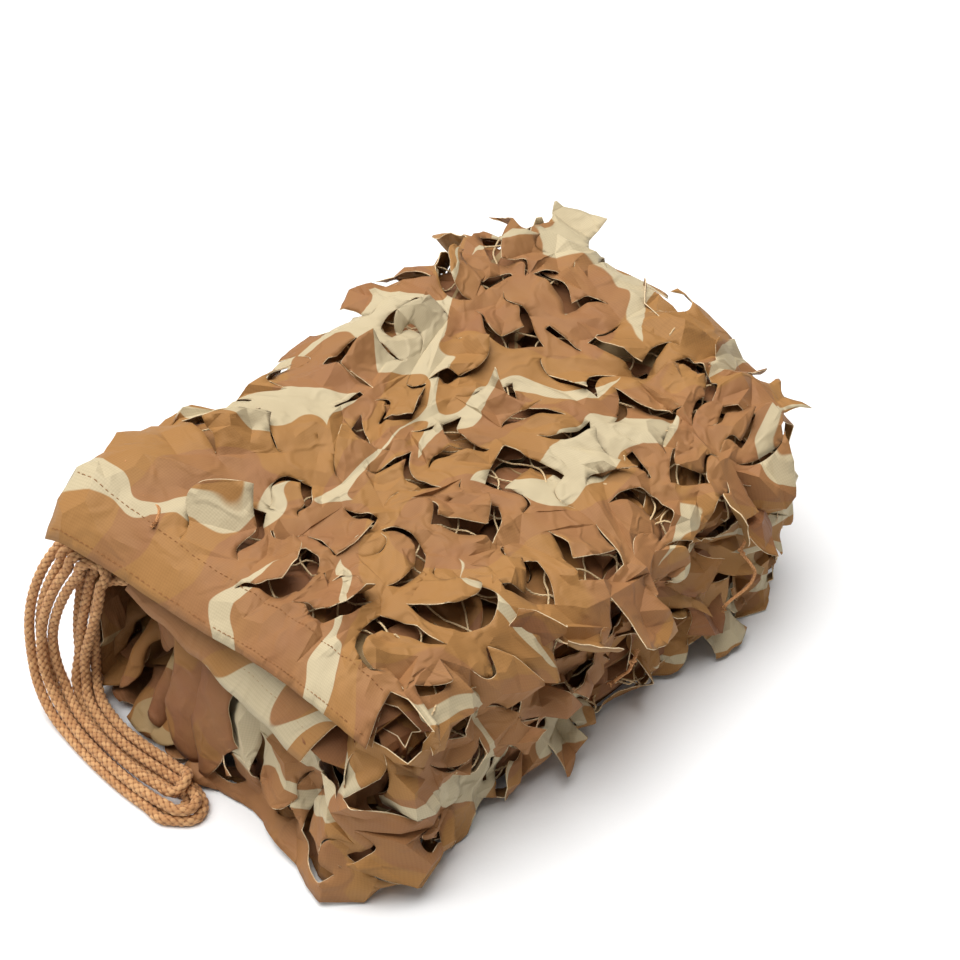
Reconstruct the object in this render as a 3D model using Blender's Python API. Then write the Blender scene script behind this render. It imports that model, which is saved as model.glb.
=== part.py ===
"""Desert camouflage net of 3 m by 4 m, folded to a packet, with its border rope pulled out in a loose hank.

The net is one sheet. It was folded lengthwise from 4 m to the packet's length, and then back and forth
across its 3 m width, so each inner ply stands for about ten layers and is as thick as they are. The outermost
turn is a single layer of cloth: it runs up the back, over the top, down the front and under the packet, and
its incisions are opened into gaps, each with its leaf standing up. The net lies on the plane z = 0, its long
side along X, the end with the hem and the rope at -X.
"""

import math
import random
from collections import namedtuple

import bmesh
import bpy
import numpy as np
from mathutils import Vector
from mathutils.bvhtree import BVHTree
from mathutils.geometry import tessellate_polygon

# Driving dimensions, in metres
LEFT_EDGE = -0.156  # where the leaf rows of the outer turn end and the hem begins
RIGHT_EDGE = 0.170  # where the outer turn rolls over the right end
COLUMNS = 7  # leaf units along the packet
UNIT = (RIGHT_EDGE - LEFT_EDGE) / COLUMNS
CORE_PLACE = (-0.0055, 0.0022, 0.0)  # the middle of the plies, from the middle of the net's box
CLOTH = 0.0022  # the outer turn: one layer of cloth with its backing net
FLOOR_CLEAR = 0.0016  # the least height of the middle of that layer
PLY = 0.0066  # an inner ply: the ten layers of the lengthwise folding
PLY_PITCH = 0.0104  # from one inner ply to the next
PLIES = 12
PLY_HALF = 0.1085  # half the straight run of an inner ply
PLY_CELLS = 5  # cells across that run
BEND_STEPS = 3  # cells round each fold
BACK_RISE = 0.10  # the back is that share higher than the middle, and the front that much lower
TWIST = 0.04
RIGHT_FALL = 0.02
SIDE_TAPER = 0.003  # how much the sides draw in towards both ends
RIGHT_CROWN = 0.35  # the share by which the right end stands out more at its middle
RIGHT_NARROWING = 0.02  # and by which it is narrower than the top

Wave = namedtuple("Wave", "height along across start")
# The unevenness of the packet: a sine's height, its turns along and across in radians, and where it starts
TOP_WAVE = Wave(0.012, 5.1, 3.7, 1.3)
SIDE_WAVES = (Wave(0.0030, 19.0, 38.0, 0.6), Wave(0.0022, 47.0, 25.0, -1.1))
RIGHT_WAVE = Wave(0.003, 2.1, 4.4, 0.0)
LEFT_WAVE = Wave(0.0025, 1.9, 3.1, 0.0)
ROW_SWAY = Wave(0.007, 0.0, 2.1, 0.5)  # how far a row of leaves wanders along the packet
COLUMN_SWAY = Wave(0.22, 2.0, 1.4, 0.0)  # and a column across it, in units
HEM_WAVE = Wave(0.15, 5.0, 0.0, 0.6)  # of the top hem's sag, as a share of it
BACK_HEM_WAVE = Wave(0.004, 2.6, 0.0, 0.7)

SKEW = 0.012  # how far the left end leads at the back and trails at the front
HEM_WIDTH = 0.028
HEM_DROP = 0.018  # how far the top hem's edge sags
HEM_FLARE = 0.010  # how far its corner runs out to the front
BACK_HEM_WIDTH = 0.015
SecondHem = namedtuple("SecondHem", "back_drop front_drop back_shift front_shift")
SECOND_HEM = SecondHem(0.016, 0.038, 0.010, 0.024)  # how far its edge hangs and lies to the back at its ends
ROPE = 0.006  # the border rope's diameter
ROPE_GAP = 0.0003  # between one turn of the rope and the next
TIE = 0.0022  # a tie string's diameter

Station = namedtuple("Station", "name y z")
# The outer turn's section, from the back hem over the top to the front foot. Every other station bounds two
# rows of leaf units: the sides swell at each packet of plies and draw in between two of them.
SECTION = (
    Station("back_foot", 0.117, 0.006),
    Station("back_low", 0.127, 0.025),
    Station("back_nip_low", 0.121, 0.045),
    Station("back_middle", 0.129, 0.067),
    Station("back_nip_high", 0.122, 0.089),
    Station("back_high", 0.126, 0.112),
    Station("back_shoulder", 0.112, 0.131),
    Station("top_1", 0.090, 0.1355),
    Station("top_2", 0.067, 0.1370),
    Station("top_3", 0.045, 0.1365),
    Station("top_4", 0.022, 0.1355),
    Station("top_5", 0.000, 0.1360),
    Station("top_6", -0.022, 0.1370),
    Station("top_7", -0.045, 0.1365),
    Station("top_8", -0.067, 0.1350),
    Station("top_9", -0.090, 0.1335),
    Station("front_shoulder", -0.112, 0.1290),
    Station("front_high", -0.127, 0.110),
    Station("front_nip_high", -0.121, 0.087),
    Station("front_middle", -0.130, 0.065),
    Station("front_nip_low", -0.122, 0.043),
    Station("front_low", -0.129, 0.023),
    Station("front_foot", -0.119, 0.005),
)
TOP_ROWS = (3, 8)  # the unit rows that lie on top of the packet
ROWS = (len(SECTION) - 1) // 2

Roll = namedtuple("Roll", "reach z")
# How the outer turn rolls down over the right end, by half units
RIGHT_ROLL = (
    Roll(0.000, 0.131), Roll(0.013, 0.112), Roll(0.008, 0.089), Roll(0.015, 0.067),
    Roll(0.009, 0.045), Roll(0.014, 0.025), Roll(0.006, 0.006),
)
# How the drape hangs off a ply at the left end: z is the fall below that ply
LEFT_ROLL = (
    Roll(0.000, 0.000), Roll(0.010, 0.018), Roll(0.016, 0.044), Roll(0.020, 0.070), Roll(0.030, 0.095),
)

PlyEnd = namedtuple("PlyEnd", "left right")
# How far each inner ply reaches at the two ends, from the floor up. The middle ones stop short at the left.
PLY_ENDS = (
    PlyEnd(-0.160, 0.164), PlyEnd(-0.163, 0.166), PlyEnd(-0.156, 0.165), PlyEnd(-0.158, 0.162),
    PlyEnd(-0.148, 0.166), PlyEnd(-0.142, 0.164), PlyEnd(-0.138, 0.166), PlyEnd(-0.145, 0.163),
    PlyEnd(-0.150, 0.165), PlyEnd(-0.159, 0.164), PlyEnd(-0.150, 0.163), PlyEnd(-0.157, 0.162),
)
DRAPE_PLY = 9  # the ply that the left drape hangs from
DRAPE_CELLS = 3  # cells of that ply's left edge that carry the drape
HEM_PLY = 11  # the ply whose hem shows under the top one

Tongue = namedtuple("Tongue", "ply cell length")
# The leaves that stick out of the plies' left ends
TONGUES = (
    Tongue(2, 2, 0.020), Tongue(2, 3, 0.016), Tongue(4, 3, 0.022), Tongue(5, 2, 0.026), Tongue(6, 3, 0.024),
    Tongue(7, 2, 0.022), Tongue(8, 3, 0.018), Tongue(3, 2, 0.016),
)
Fall = namedtuple("Fall", "reach fall")
TONGUE_STRETCHES = (Fall(0.55, 0.12), Fall(0.35, 0.40))  # of a tongue: how far out and down, in its lengths
TONGUE_NARROWING = 0.18
TONGUE_WANDER = 0.002

Leaf = namedtuple("Leaf", "hinge lift length skew")
# The six corners of a gap in its unit of 1 by 1, and how far each wanders
GAP = ((0.15, 0.38), (0.40, 0.24), (0.80, 0.26), (0.86, 0.60), (0.60, 0.77), (0.20, 0.74))
GAP_WANDER = 0.045
RIM_RISE = (-0.0008, 0.0014)  # how far a gap's corners lie in or out of the cloth
Stretch = namedtuple("Stretch", "bend width")
# A leaf's two stretches from its hinge: the share of its lift that each has, and its width against the last
LEAF_STRETCHES = (Stretch(1.1, 0.94), Stretch(0.9, 0.84))
LEAF_POINT = 0.12  # how far its middle runs ahead
LEAF_LEAN = 0.16  # how far its two sides part in height and along
LOW_LEAF = Leaf(None, (9.0, 20.0), (0.018, 0.023), None)  # ranges of lift in degrees and of length, on top
HUNG_LEAF = Leaf(None, (12.0, 29.0), (0.018, 0.025), None)  # and on the sides
HUNG_SHARE = 0.75  # of the side leaves hang from their upper edge

# Colours of the cloth, the rope and the ties: linear RGB, roughness
FINISHES = {
    "garnish_cloth": ((0.48, 0.27, 0.12), 0.72),
    "rope": ((0.42, 0.22, 0.10), 0.85),
    "tie": ((0.62, 0.33, 0.17), 0.85),
}

Bend = namedtuple("Bend", "name x y z outer inner end over after")
# One turn of the hank, for its outermost strand: over the top under the hem, down outside the left end,
# along the floor to the front, and back and up inside. A z of 0 takes the strand's own height. The last five
# columns are the shares of the strands' own sizes, below, by which a turn differs there.
HANK_TURN = (
    Bend("over", -0.1860, 0.1225, 0.1140, 0.0, 0.0, 0.0, 1.0, 0.0),
    Bend("out", -0.1980, 0.1310, 0.0985, 0.4, 0.0, 0.0, 0.9, 0.0),
    Bend("fall", -0.2100, 0.1360, 0.0730, 0.6, 0.0, 0.0, 0.7, 0.0),
    Bend("belly", -0.2170, 0.1350, 0.0420, 0.8, 0.0, 0.0, 0.4, 0.0),
    Bend("landing", -0.2220, 0.1200, 0.0120, 1.0, 0.0, 0.0, 0.2, 0.0),
    Bend("floor_back", -0.2285, 0.0860, 0.0, 1.0, 0.0, 0.0, 0.0, 0.0),
    Bend("floor_middle", -0.2310, 0.0450, 0.0, 1.0, 0.0, 0.0, 0.0, 0.0),
    Bend("floor_front", -0.2280, 0.0060, 0.0, 1.0, 0.0, 0.6, 0.0, 0.0),
    Bend("end", -0.2180, -0.0120, 0.0, 0.6, 0.4, 1.0, 0.0, 0.0),
    Bend("end_inside", -0.2060, -0.0080, 0.0, 0.4, 0.6, 1.0, 0.0, 0.0),
    Bend("return_front", -0.2035, 0.0220, 0.0, 0.0, 1.0, 0.3, 0.0, 0.0),
    Bend("return_middle", -0.2085, 0.0560, 0.0, 0.0, 1.0, 0.0, 0.0, 0.0),
    Bend("return_back", -0.2035, 0.0940, 0.0, 0.0, 1.0, 0.0, 0.0, 0.0),
    Bend("lift", -0.1960, 0.1210, 0.0180, 0.0, 0.5, 0.0, 0.0, 0.5),
    Bend("rise", -0.1925, 0.1265, 0.0560, 0.0, 0.4, 0.0, 0.0, 0.9),
    Bend("under_hem", -0.1845, 0.1225, 0.0980, 0.0, 0.0, 0.0, 0.0, 1.0),
)
Strand = namedtuple("Strand", "outer inner end over height")
# Each turn against the outermost: how far its outer strand lies to +X and its inner one to -X, how much
# sooner it ends, how far to the front it goes over the top, and how high its middle lies on the floor
STRANDS = (
    Strand(0.0000, 0.0000, 0.0000, 0.0000, 0.0031),
    Strand(0.0064, 0.0064, 0.0090, 0.0085, 0.0031),
    Strand(0.0032, 0.0032, 0.0030, 0.0170, 0.0090),
    Strand(0.0100, 0.0010, 0.0150, 0.0255, 0.0110),
)
ROPE_POINTS = 110
ROPE_EXIT = (-0.1720, 0.1100, 0.1220)  # where the first turn leaves the hem
ROPE_INSIDE = (-0.1640, 0.0700, 0.0930)  # where the last turn ends, under it
SETTLING = 120  # rounds of pushing the rope's turns apart
EASING = 0.12  # how far each point goes to its neighbours' middle in the first rounds
EASED_ROUNDS = 2

Tie = namedtuple("Tie", "name face x across turn tail end")
# The short strings that fasten the cloth to its backing net: the face each is knotted on, the place of the
# knot there, which way its long end points in degrees (0 is +X, 90 is up or to the back), and its two lengths
TIES = (
    Tie("tie_back", "top", -0.152, 0.106, 225.0, 0.024, 0.008),
    Tie("tie_hem", "top", -0.158, 0.086, 250.0, 0.026, 0.010),
    Tie("tie_front", "front", 0.108, 0.078, 262.0, 0.038, 0.009),
    Tie("tie_middle", "front", 0.010, 0.060, 235.0, 0.022, 0.008),
)
KNOT = 0.0042  # a tie's knot, across
TIE_STEP = 0.0035  # from point to point of a tie's line
CLEAR = 0.0005  # between a tie and the cloth


def clear_scene():
    """Removes whatever the file holds."""
    for obj in list(bpy.data.objects):
        bpy.data.objects.remove(obj, do_unlink=True)


def finish(name):
    """The material of that name, made once."""
    found = bpy.data.materials.get(name)
    if found:
        return found
    colour, roughness = FINISHES[name]
    made = bpy.data.materials.new(name)
    made.use_nodes = True
    shader = made.node_tree.nodes["Principled BSDF"]
    shader.inputs["Base Color"].default_value = (*colour, 1.0)
    shader.inputs["Roughness"].default_value = roughness
    shader.inputs["Metallic"].default_value = 0.0
    return made


# The form of the packet


def smooth_value(values, at):
    """A Catmull-Rom curve through evenly spaced values, read at a fractional index."""
    last = len(values) - 1
    at = min(max(at, 0.0), float(last))
    i = min(int(at), last - 1)
    t = at - i
    a, b, c, d = (values[min(max(k, 0), last)] for k in (i - 1, i, i + 1, i + 2))
    return 0.5 * (2 * b + (c - a) * t + (2 * a - 5 * b + 4 * c - d) * t**2 + (3 * (b - c) + d - a) * t**3)


def ripple(wave, along, across):
    """That wave's height at a place: a sine of the two coordinates."""
    return wave.height * math.sin(wave.along * along + wave.across * across + wave.start)


def crown(x, y):
    """The packet's height there as a share of its section's: the back is higher, the right front lowest."""
    u, v = x / RIGHT_EDGE, y / PLY_HALF
    return 1.0 + BACK_RISE * v + TWIST * u * v - RIGHT_FALL * u + ripple(TOP_WAVE, u, v)


def bulge(x, y, z):
    """How much further out the sides stand there, in metres: they wander along the packet."""
    side = 1.0 if y > 0 else -1.0
    swell = sum(ripple(wave, x, z * side) for wave in SIDE_WAVES)
    return side * (swell - SIDE_TAPER * (x / RIGHT_EDGE) ** 2)


def packet(x, y, z):
    """A point of the straight packet carried to the uneven one, whose left end is out of square."""
    width = min(abs(y) / PLY_HALF, 1.0) ** 2
    leftness = (RIGHT_EDGE - x) / (RIGHT_EDGE - LEFT_EDGE)
    return Vector((x - SKEW * leftness * y / PLY_HALF, y + bulge(x, y, z) * width, z * crown(x, y)))


def on_turn(x, row):
    """The outer turn's surface: x along the packet, row 0 at the back foot up to ROWS at the front foot."""
    u = math.pi * (x - LEFT_EDGE) / (RIGHT_EDGE - LEFT_EDGE)
    swayed_x = x + ripple(ROW_SWAY, 0.0, row) * math.sin(u)
    swayed_row = row + ripple(COLUMN_SWAY, u, row) * math.sin(math.pi * row / ROWS)
    y = smooth_value([s.y for s in SECTION], 2 * swayed_row)
    z = smooth_value([s.z for s in SECTION], 2 * swayed_row)
    return packet(swayed_x, y, z)


def on_right_end(step, row):
    """The right end's surface: step counts units down from its top edge, and row is the outer turn's."""
    reach = smooth_value([r.reach for r in RIGHT_ROLL], 2 * step)
    share = smooth_value([r.z for r in RIGHT_ROLL], 2 * step) / RIGHT_ROLL[0].z
    edge = on_turn(RIGHT_EDGE, row)
    middle = 1.0 - (edge.y / PLY_HALF) ** 2
    down = min(step, 1.0)
    x = RIGHT_EDGE + reach * (1.0 + RIGHT_CROWN * middle) + ripple(RIGHT_WAVE, step, row) * down
    return Vector((x, edge.y * (1.0 - RIGHT_NARROWING * down), edge.z * share))


# The sheet's mesh


class Sheet:
    """The net's middle surface, built patch by patch, with the share of its thickness at every vertex."""

    def __init__(self):
        self.mesh = bmesh.new()
        self.known = {}
        self.share = self.mesh.verts.layers.float.new("share")

    def vertex(self, point, share=CLOTH / PLY):
        """The vertex at that point, made where there is none within a hundredth of a millimetre."""
        key = tuple(round(c * 1e5) for c in point)
        if key not in self.known:
            self.known[key] = self.mesh.verts.new(point)
            self.known[key][self.share] = share
        return self.known[key]

    def face(self, points, share=CLOTH / PLY):
        """One flat face of the sheet. Its points run the same way round on every patch."""
        corners = [self.vertex(p, share) for p in points]
        return self.mesh.faces.new(corners)

    def strip(self, first, second, share=CLOTH / PLY):
        """Quads between two lines of as many points."""
        for a, b, c, d in zip(first, first[1:], second[1:], second):
            self.face((a, b, c, d), share)


def unit_frame(place, a, b):
    """The point of a unit at (a, b), and the directions along a, along b and out of the packet there."""
    step = 0.04
    at = place(a, b)
    along_a = (place(a + step, b) - place(a - step, b)).normalized()
    along_b = (place(a, b + step) - place(a, b - step)).normalized()
    return at, along_a, along_b, along_b.cross(along_a).normalized()


def leaf_unit(sheet, place, leaf, rng, mid_edges):
    """One unit of the incised cloth: a ring of cloth round a gap, and the leaf that stands up from its hinge.

    place(a, b) is the unit's surface, a and b from 0 to 1 and turning left-handed about the way out of the
    packet. mid_edges are the sides, at b 0, a 1, b 1 and a 0, that carry a middle vertex shared with the next
    unit.
    """
    corners = ((0, 0), (1, 0), (1, 1), (0, 1))
    outline = []
    for i, corner in enumerate(corners):
        after = corners[(i + 1) % 4]
        outline.append(corner)
        if mid_edges[i]:
            outline.append(((corner[0] + after[0]) / 2, (corner[1] + after[1]) / 2))
    turned = [(b, 1 - a) if leaf.hinge % 2 else (a, b) for a, b in GAP]
    if leaf.skew < 0:
        turned = [(1 - a, b) for a, b in turned][::-1]
    wander = (-GAP_WANDER, GAP_WANDER)
    gap = [(a + rng.uniform(*wander), b + rng.uniform(*wander)) for a, b in turned]
    if sum(p[0] * q[1] - q[0] * p[1] for p, q in zip(gap, gap[1:] + gap[:1])) < 0:
        gap.reverse()
    flat = [Vector((a, b, 0.0)) for a, b in outline] + [Vector((a, b, 0.0)) for a, b in gap]
    places = [place(a, b) for a, b in outline]
    raised = []
    for a, b in gap:
        at, _, _, out = unit_frame(place, a, b)
        raised.append(at + out * rng.uniform(*RIM_RISE))
    spots = places + raised
    rings = [flat[: len(outline)], flat[len(outline) :]]
    for triangle in tessellate_polygon(rings):
        p, q, r = (flat[i] for i in triangle)
        order = triangle if (q - p).cross(r - p).z < 0 else triangle[::-1]
        sheet.face([spots[i] for i in order])
    stand_leaf(sheet, place, gap, raised, leaf)


def hinge_corners(gap, side):
    """The three neighbouring corners of the gap that lie nearest to that side of the unit."""
    towards = ((0, -1), (1, 0), (0, 1), (-1, 0))[side]
    scores = []
    for i in range(len(gap)):
        three = [gap[(i + k) % len(gap)] for k in range(3)]
        scores.append(sum(a * towards[0] + b * towards[1] for a, b in three))
    first = scores.index(max(scores))
    return [(first + k) % len(gap) for k in range(3)]


def stand_leaf(sheet, place, gap, raised, leaf):
    """The leaf: it leaves the cloth at its hinge, lifts, levels off a little and ends in a blunt tip."""
    hinge_at = hinge_corners(gap, leaf.hinge)
    hinge = [raised[i] for i in hinge_at]
    middle_a = sum(gap[i][0] for i in hinge_at) / 3
    middle_b = sum(gap[i][1] for i in hinge_at) / 3
    _, along_a, along_b, out = unit_frame(place, middle_a, middle_b)
    inward = {0: along_b, 1: -along_a, 2: -along_b, 3: along_a}[leaf.hinge]
    side = (hinge[2] - hinge[0]).normalized()
    lift = math.radians(leaf.lift)
    row = hinge
    for stretch in LEAF_STRETCHES:
        length = leaf.length / len(LEAF_STRETCHES)
        step = (inward * math.cos(lift * stretch.bend) + out * math.sin(lift * stretch.bend)) * length
        centre = sum(row, Vector()) / 3
        grown = []
        for k, p in enumerate(row):
            point = centre + (p - centre) * stretch.width + step
            if k == 1:
                point += step * LEAF_POINT
            point += (side + out) * leaf.skew * (k - 1) * LEAF_LEAN * length
            grown.append(Vector((point.x, point.y, max(point.z, FLOOR_CLEAR))))
        for a, b, c, d in zip(row, row[1:], grown[1:], grown):
            sheet.face((a, d, c, b))
        row = grown


def chosen_leaf(rng, on_top, hinge_up=None):
    """A leaf for one unit. On top the leaves lie low and any way round, on the sides they hang."""
    if on_top:
        kind, side = LOW_LEAF, rng.randrange(4)
    else:
        kind, side = HUNG_LEAF, hinge_up if rng.random() < HUNG_SHARE else rng.choice((1, 3))
    return Leaf(side, rng.uniform(*kind.lift), rng.uniform(*kind.length), rng.choice((-1, 1)))


def outer_turn(sheet, rng):
    """The leaf units of the outermost turn: up the back, over the top and down the front."""
    for row in range(ROWS):
        on_top = TOP_ROWS[0] <= row < TOP_ROWS[1]
        for column in range(COLUMNS):
            def place(a, b, row=row, column=column):
                return on_turn(LEFT_EDGE + (column + a) * UNIT, row + b)

            at_left, at_right = column == 0, column == COLUMNS - 1
            mids = (row > 0, not at_right or on_top, row < ROWS - 1, not at_left or on_top)
            # Rows count down the front and up the back, so the side that is higher differs
            hinge_up = 0 if row >= TOP_ROWS[1] else 2
            leaf_unit(sheet, place, chosen_leaf(rng, on_top, hinge_up), rng, mids)


def right_end(sheet, rng):
    """The leaf units that roll down over the right end."""
    steps = (len(RIGHT_ROLL) - 1) // 2
    for row in range(*TOP_ROWS):
        for step in range(steps):
            def place(a, b, row=row, step=step):
                return on_turn(RIGHT_EDGE, row + b) if step + a <= 0 else on_right_end(step + a, row + b)

            mids = (row > TOP_ROWS[0], step < steps - 1, row < TOP_ROWS[1] - 1, True)
            leaf_unit(sheet, place, chosen_leaf(rng, False, 3), rng, mids)


def left_drape(sheet, rng):
    """The leaf units that hang from one ply over the front half of the left end."""
    steps = (len(LEFT_ROLL) - 1) // 2
    for cell in range(DRAPE_CELLS):
        for step in range(steps):
            def place(a, b, cell=cell, step=step):
                return on_left_drape(cell + a, step + b)

            mids = (step > 0, cell < DRAPE_CELLS - 1, step < steps - 1, cell > 0)
            leaf_unit(sheet, place, chosen_leaf(rng, False, 0), rng, mids)


def on_left_drape(cell, step):
    """The left drape's surface: cell counts from its back edge to the front, step in units down the fall."""
    y = PLY_HALF * (2 * (DRAPE_CELLS - cell) / PLY_CELLS - 1)
    start = packed(PLY_ENDS[DRAPE_PLY].left, y, ply_height(DRAPE_PLY))
    reach = smooth_value([r.reach for r in LEFT_ROLL], 2 * step)
    fall = smooth_value([r.z for r in LEFT_ROLL], 2 * step)
    wave = ripple(LEFT_WAVE, step, cell) * min(step, 1.0)
    return start + Vector((wave - reach, 0.0, -fall * start.z / ply_height(DRAPE_PLY)))


def top_hem_point(row, across):
    """The hem of the top ply: across 0 at the leaf rows and 1 at its edge, sagging over the left end."""
    start = on_turn(LEFT_EDGE, row)
    front = (row - TOP_ROWS[0]) / (TOP_ROWS[1] - TOP_ROWS[0])
    droop = HEM_DROP * (1.0 + ripple(HEM_WAVE, front, 0.0)) * across**2
    return start + Vector((-HEM_WIDTH * across, -HEM_FLARE * across * front**2, -droop))


def second_hem_point(y, across):
    """The hem of the ply under it: it hangs lower, leaves room for the rope and stops short of the front."""
    start = packed(PLY_ENDS[HEM_PLY].left, y, ply_height(HEM_PLY))
    front = (PLY_HALF - y) / (2 * PLY_HALF)
    droop = SECOND_HEM.back_drop + (SECOND_HEM.front_drop - SECOND_HEM.back_drop) * front
    shift = SECOND_HEM.front_shift * front**2 + SECOND_HEM.back_shift * (1.0 - front)
    return start + Vector((-HEM_WIDTH, shift, -droop)) * across


def back_hem_point(row, across):
    """The edge of the outer turn on the back: plain cloth with an uneven border."""
    return on_turn(LEFT_EDGE - (BACK_HEM_WIDTH + ripple(BACK_HEM_WAVE, row, 0.0)) * across, row)


def hems(sheet):
    """The plain hems along the left edge: the top ply's, the next one's and the back's."""
    rows = [TOP_ROWS[0] + k / 2 for k in range(2 * (TOP_ROWS[1] - TOP_ROWS[0]) + 1)]
    for near, far in ((0.0, 0.5), (0.5, 1.0)):
        sheet.strip([top_hem_point(r, near) for r in rows], [top_hem_point(r, far) for r in rows])
    lines = [PLY_HALF * (1 - 2 * k / PLY_CELLS) for k in range(1, PLY_CELLS + 1)]
    for near, far in ((0.0, 0.5), (0.5, 1.0)):
        sheet.strip([second_hem_point(y, near) for y in lines], [second_hem_point(y, far) for y in lines])
    rows = range(TOP_ROWS[0])
    sheet.strip([back_hem_point(r, 0.0) for r in rows], [back_hem_point(r, 1.0) for r in rows])


def corners(sheet):
    """The cloth round the packet's upright corners, between the sides and the two ends."""
    front_rows = range(TOP_ROWS[1], ROWS + 1)
    for rows in (front_rows, range(TOP_ROWS[0], -1, -1)):
        side = [on_turn(RIGHT_EDGE, row) for row in rows]
        end = [on_right_end(step, rows[0]) for step in range(len(rows))]
        sheet.face((side[0], side[1], end[1]))
        sheet.strip(side[1:], end[1:])
    side = [on_turn(LEFT_EDGE, row) for row in front_rows]
    end = [on_left_drape(DRAPE_CELLS, step) for step in range(len(side) - 1)]
    sheet.face((side[0], side[1], end[0]))
    sheet.strip(side[1:], end)


def tongues(sheet, rng):
    """The crumpled leaves that stick out of the plies' left ends behind the rope."""
    for index, cell, length in TONGUES:
        left = PLY_ENDS[index].left
        row = [packed(left, PLY_HALF * (2 * (cell + k) / PLY_CELLS - 1), ply_height(index)) for k in (0, 1)]
        for stretch in TONGUE_STRETCHES:
            fall = length * stretch.fall + rng.uniform(-TONGUE_WANDER, TONGUE_WANDER)
            turn = rng.uniform(-TONGUE_WANDER, TONGUE_WANDER)
            ahead = [p + Vector((-length * stretch.reach, turn, -fall)) for p in row]
            narrow = (ahead[1] - ahead[0]) * TONGUE_NARROWING
            ahead = [ahead[0] + narrow, ahead[1] - narrow]
            sheet.face((row[0], row[1], ahead[1], ahead[0]))
            row = ahead


def under_fold(sheet):
    """The turn from the outer turn's front foot into the lowest ply."""
    foot = [on_turn(LEFT_EDGE + k * UNIT, ROWS) for k in range(COLUMNS + 1)]
    sheet.strip(foot, [packed(x, -PLY_HALF, PLY / 2) for x in ply_edges(0)], 1.0)


def ply_height(index):
    """The middle height of an inner ply."""
    return PLY / 2 + index * PLY_PITCH


def ply_edges(index):
    """The x of an inner ply's cell lines, from its left end to its right."""
    ends = PLY_ENDS[index]
    return [ends.left + (ends.right - ends.left) * k / COLUMNS for k in range(COLUMNS + 1)]


def packed(x, y, z):
    """A point of the inner plies: they follow the packet, but the lowest ply is flat on the floor."""
    share = min(max((z - PLY / 2) / (3 * PLY_PITCH), 0.0), 1.0)
    moved = packet(x, y, z)
    return Vector((x, y + (moved.y - y) * share, z + (moved.z - z) * share))


def inner_plies(sheet):
    """The back-and-forth section: plies one above the other, joined by folds at the back and the front."""
    lines = []
    for index in range(PLIES):
        forward = index % 2 == 0  # towards the back
        z = ply_height(index)
        for k in range(PLY_CELLS + 1):
            y = PLY_HALF * (2 * k / PLY_CELLS - 1)
            lines.append((index, y if forward else -y, z, 0.0))
        if index == PLIES - 1:
            break
        for k in range(1, BEND_STEPS):
            angle = math.pi * k / BEND_STEPS
            reach = PLY_PITCH / 2 * math.sin(angle)
            y = (PLY_HALF + reach) * (1 if forward else -1)
            lines.append((index, y, z + PLY_PITCH / 2 * (1 - math.cos(angle)), k / BEND_STEPS))
    previous = None
    for index, y, z, onward in lines:
        here, after = ply_edges(index), ply_edges(min(index + 1, PLIES - 1))
        line = [packed(a + (b - a) * onward, y, z) for a, b in zip(here, after)]
        if previous:
            sheet.strip(previous, line, 1.0)
        previous = line


def build_net():
    """The folded net, as one solid."""
    sheet = Sheet()
    rng = random.Random(11)
    inner_plies(sheet)
    under_fold(sheet)
    outer_turn(sheet, rng)
    right_end(sheet, rng)
    left_drape(sheet, rng)
    hems(sheet)
    corners(sheet)
    tongues(sheet, rng)
    bmesh.ops.recalc_face_normals(sheet.mesh, faces=sheet.mesh.faces)
    mesh = bpy.data.meshes.new("camouflage_net")
    shares = [v[sheet.share] for v in sheet.mesh.verts]
    sheet.mesh.to_mesh(mesh)
    net = bpy.data.objects.new("camouflage_net", mesh)
    bpy.context.scene.collection.objects.link(net)
    thickness = net.vertex_groups.new(name="thickness")
    for index, share in enumerate(shares):
        thickness.add([index], share, "REPLACE")
    solidify = net.modifiers.new("thickness", "SOLIDIFY")
    solidify.thickness = PLY
    solidify.offset = 0.0
    solidify.vertex_group = thickness.name
    net.data.materials.append(finish("garnish_cloth"))
    return net


# The rope and the ties


def smooth_line(points, count):
    """A Catmull-Rom curve through the points, as count points evenly spread over its stretches."""
    columns = [[p[axis] for p in points] for axis in range(3)]
    stretch = (len(points) - 1) / (count - 1)
    return [Vector([smooth_value(column, stretch * k) for column in columns]) for k in range(count)]


def hank_route():
    """The rope's own route: a loop for each turn, the strands side by side or one on two, then its end."""
    route = [ROPE_EXIT]
    for strand, after in zip(STRANDS, STRANDS[1:] + STRANDS[-1:]):
        for bend in HANK_TURN:
            x = bend.x + strand.outer * bend.outer - strand.inner * bend.inner
            y = bend.y + strand.end * bend.end - strand.over * bend.over - after.over * bend.after
            route.append((x, y, bend.z if bend.z else strand.height))
    return route + [ROPE_INSIDE]


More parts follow.
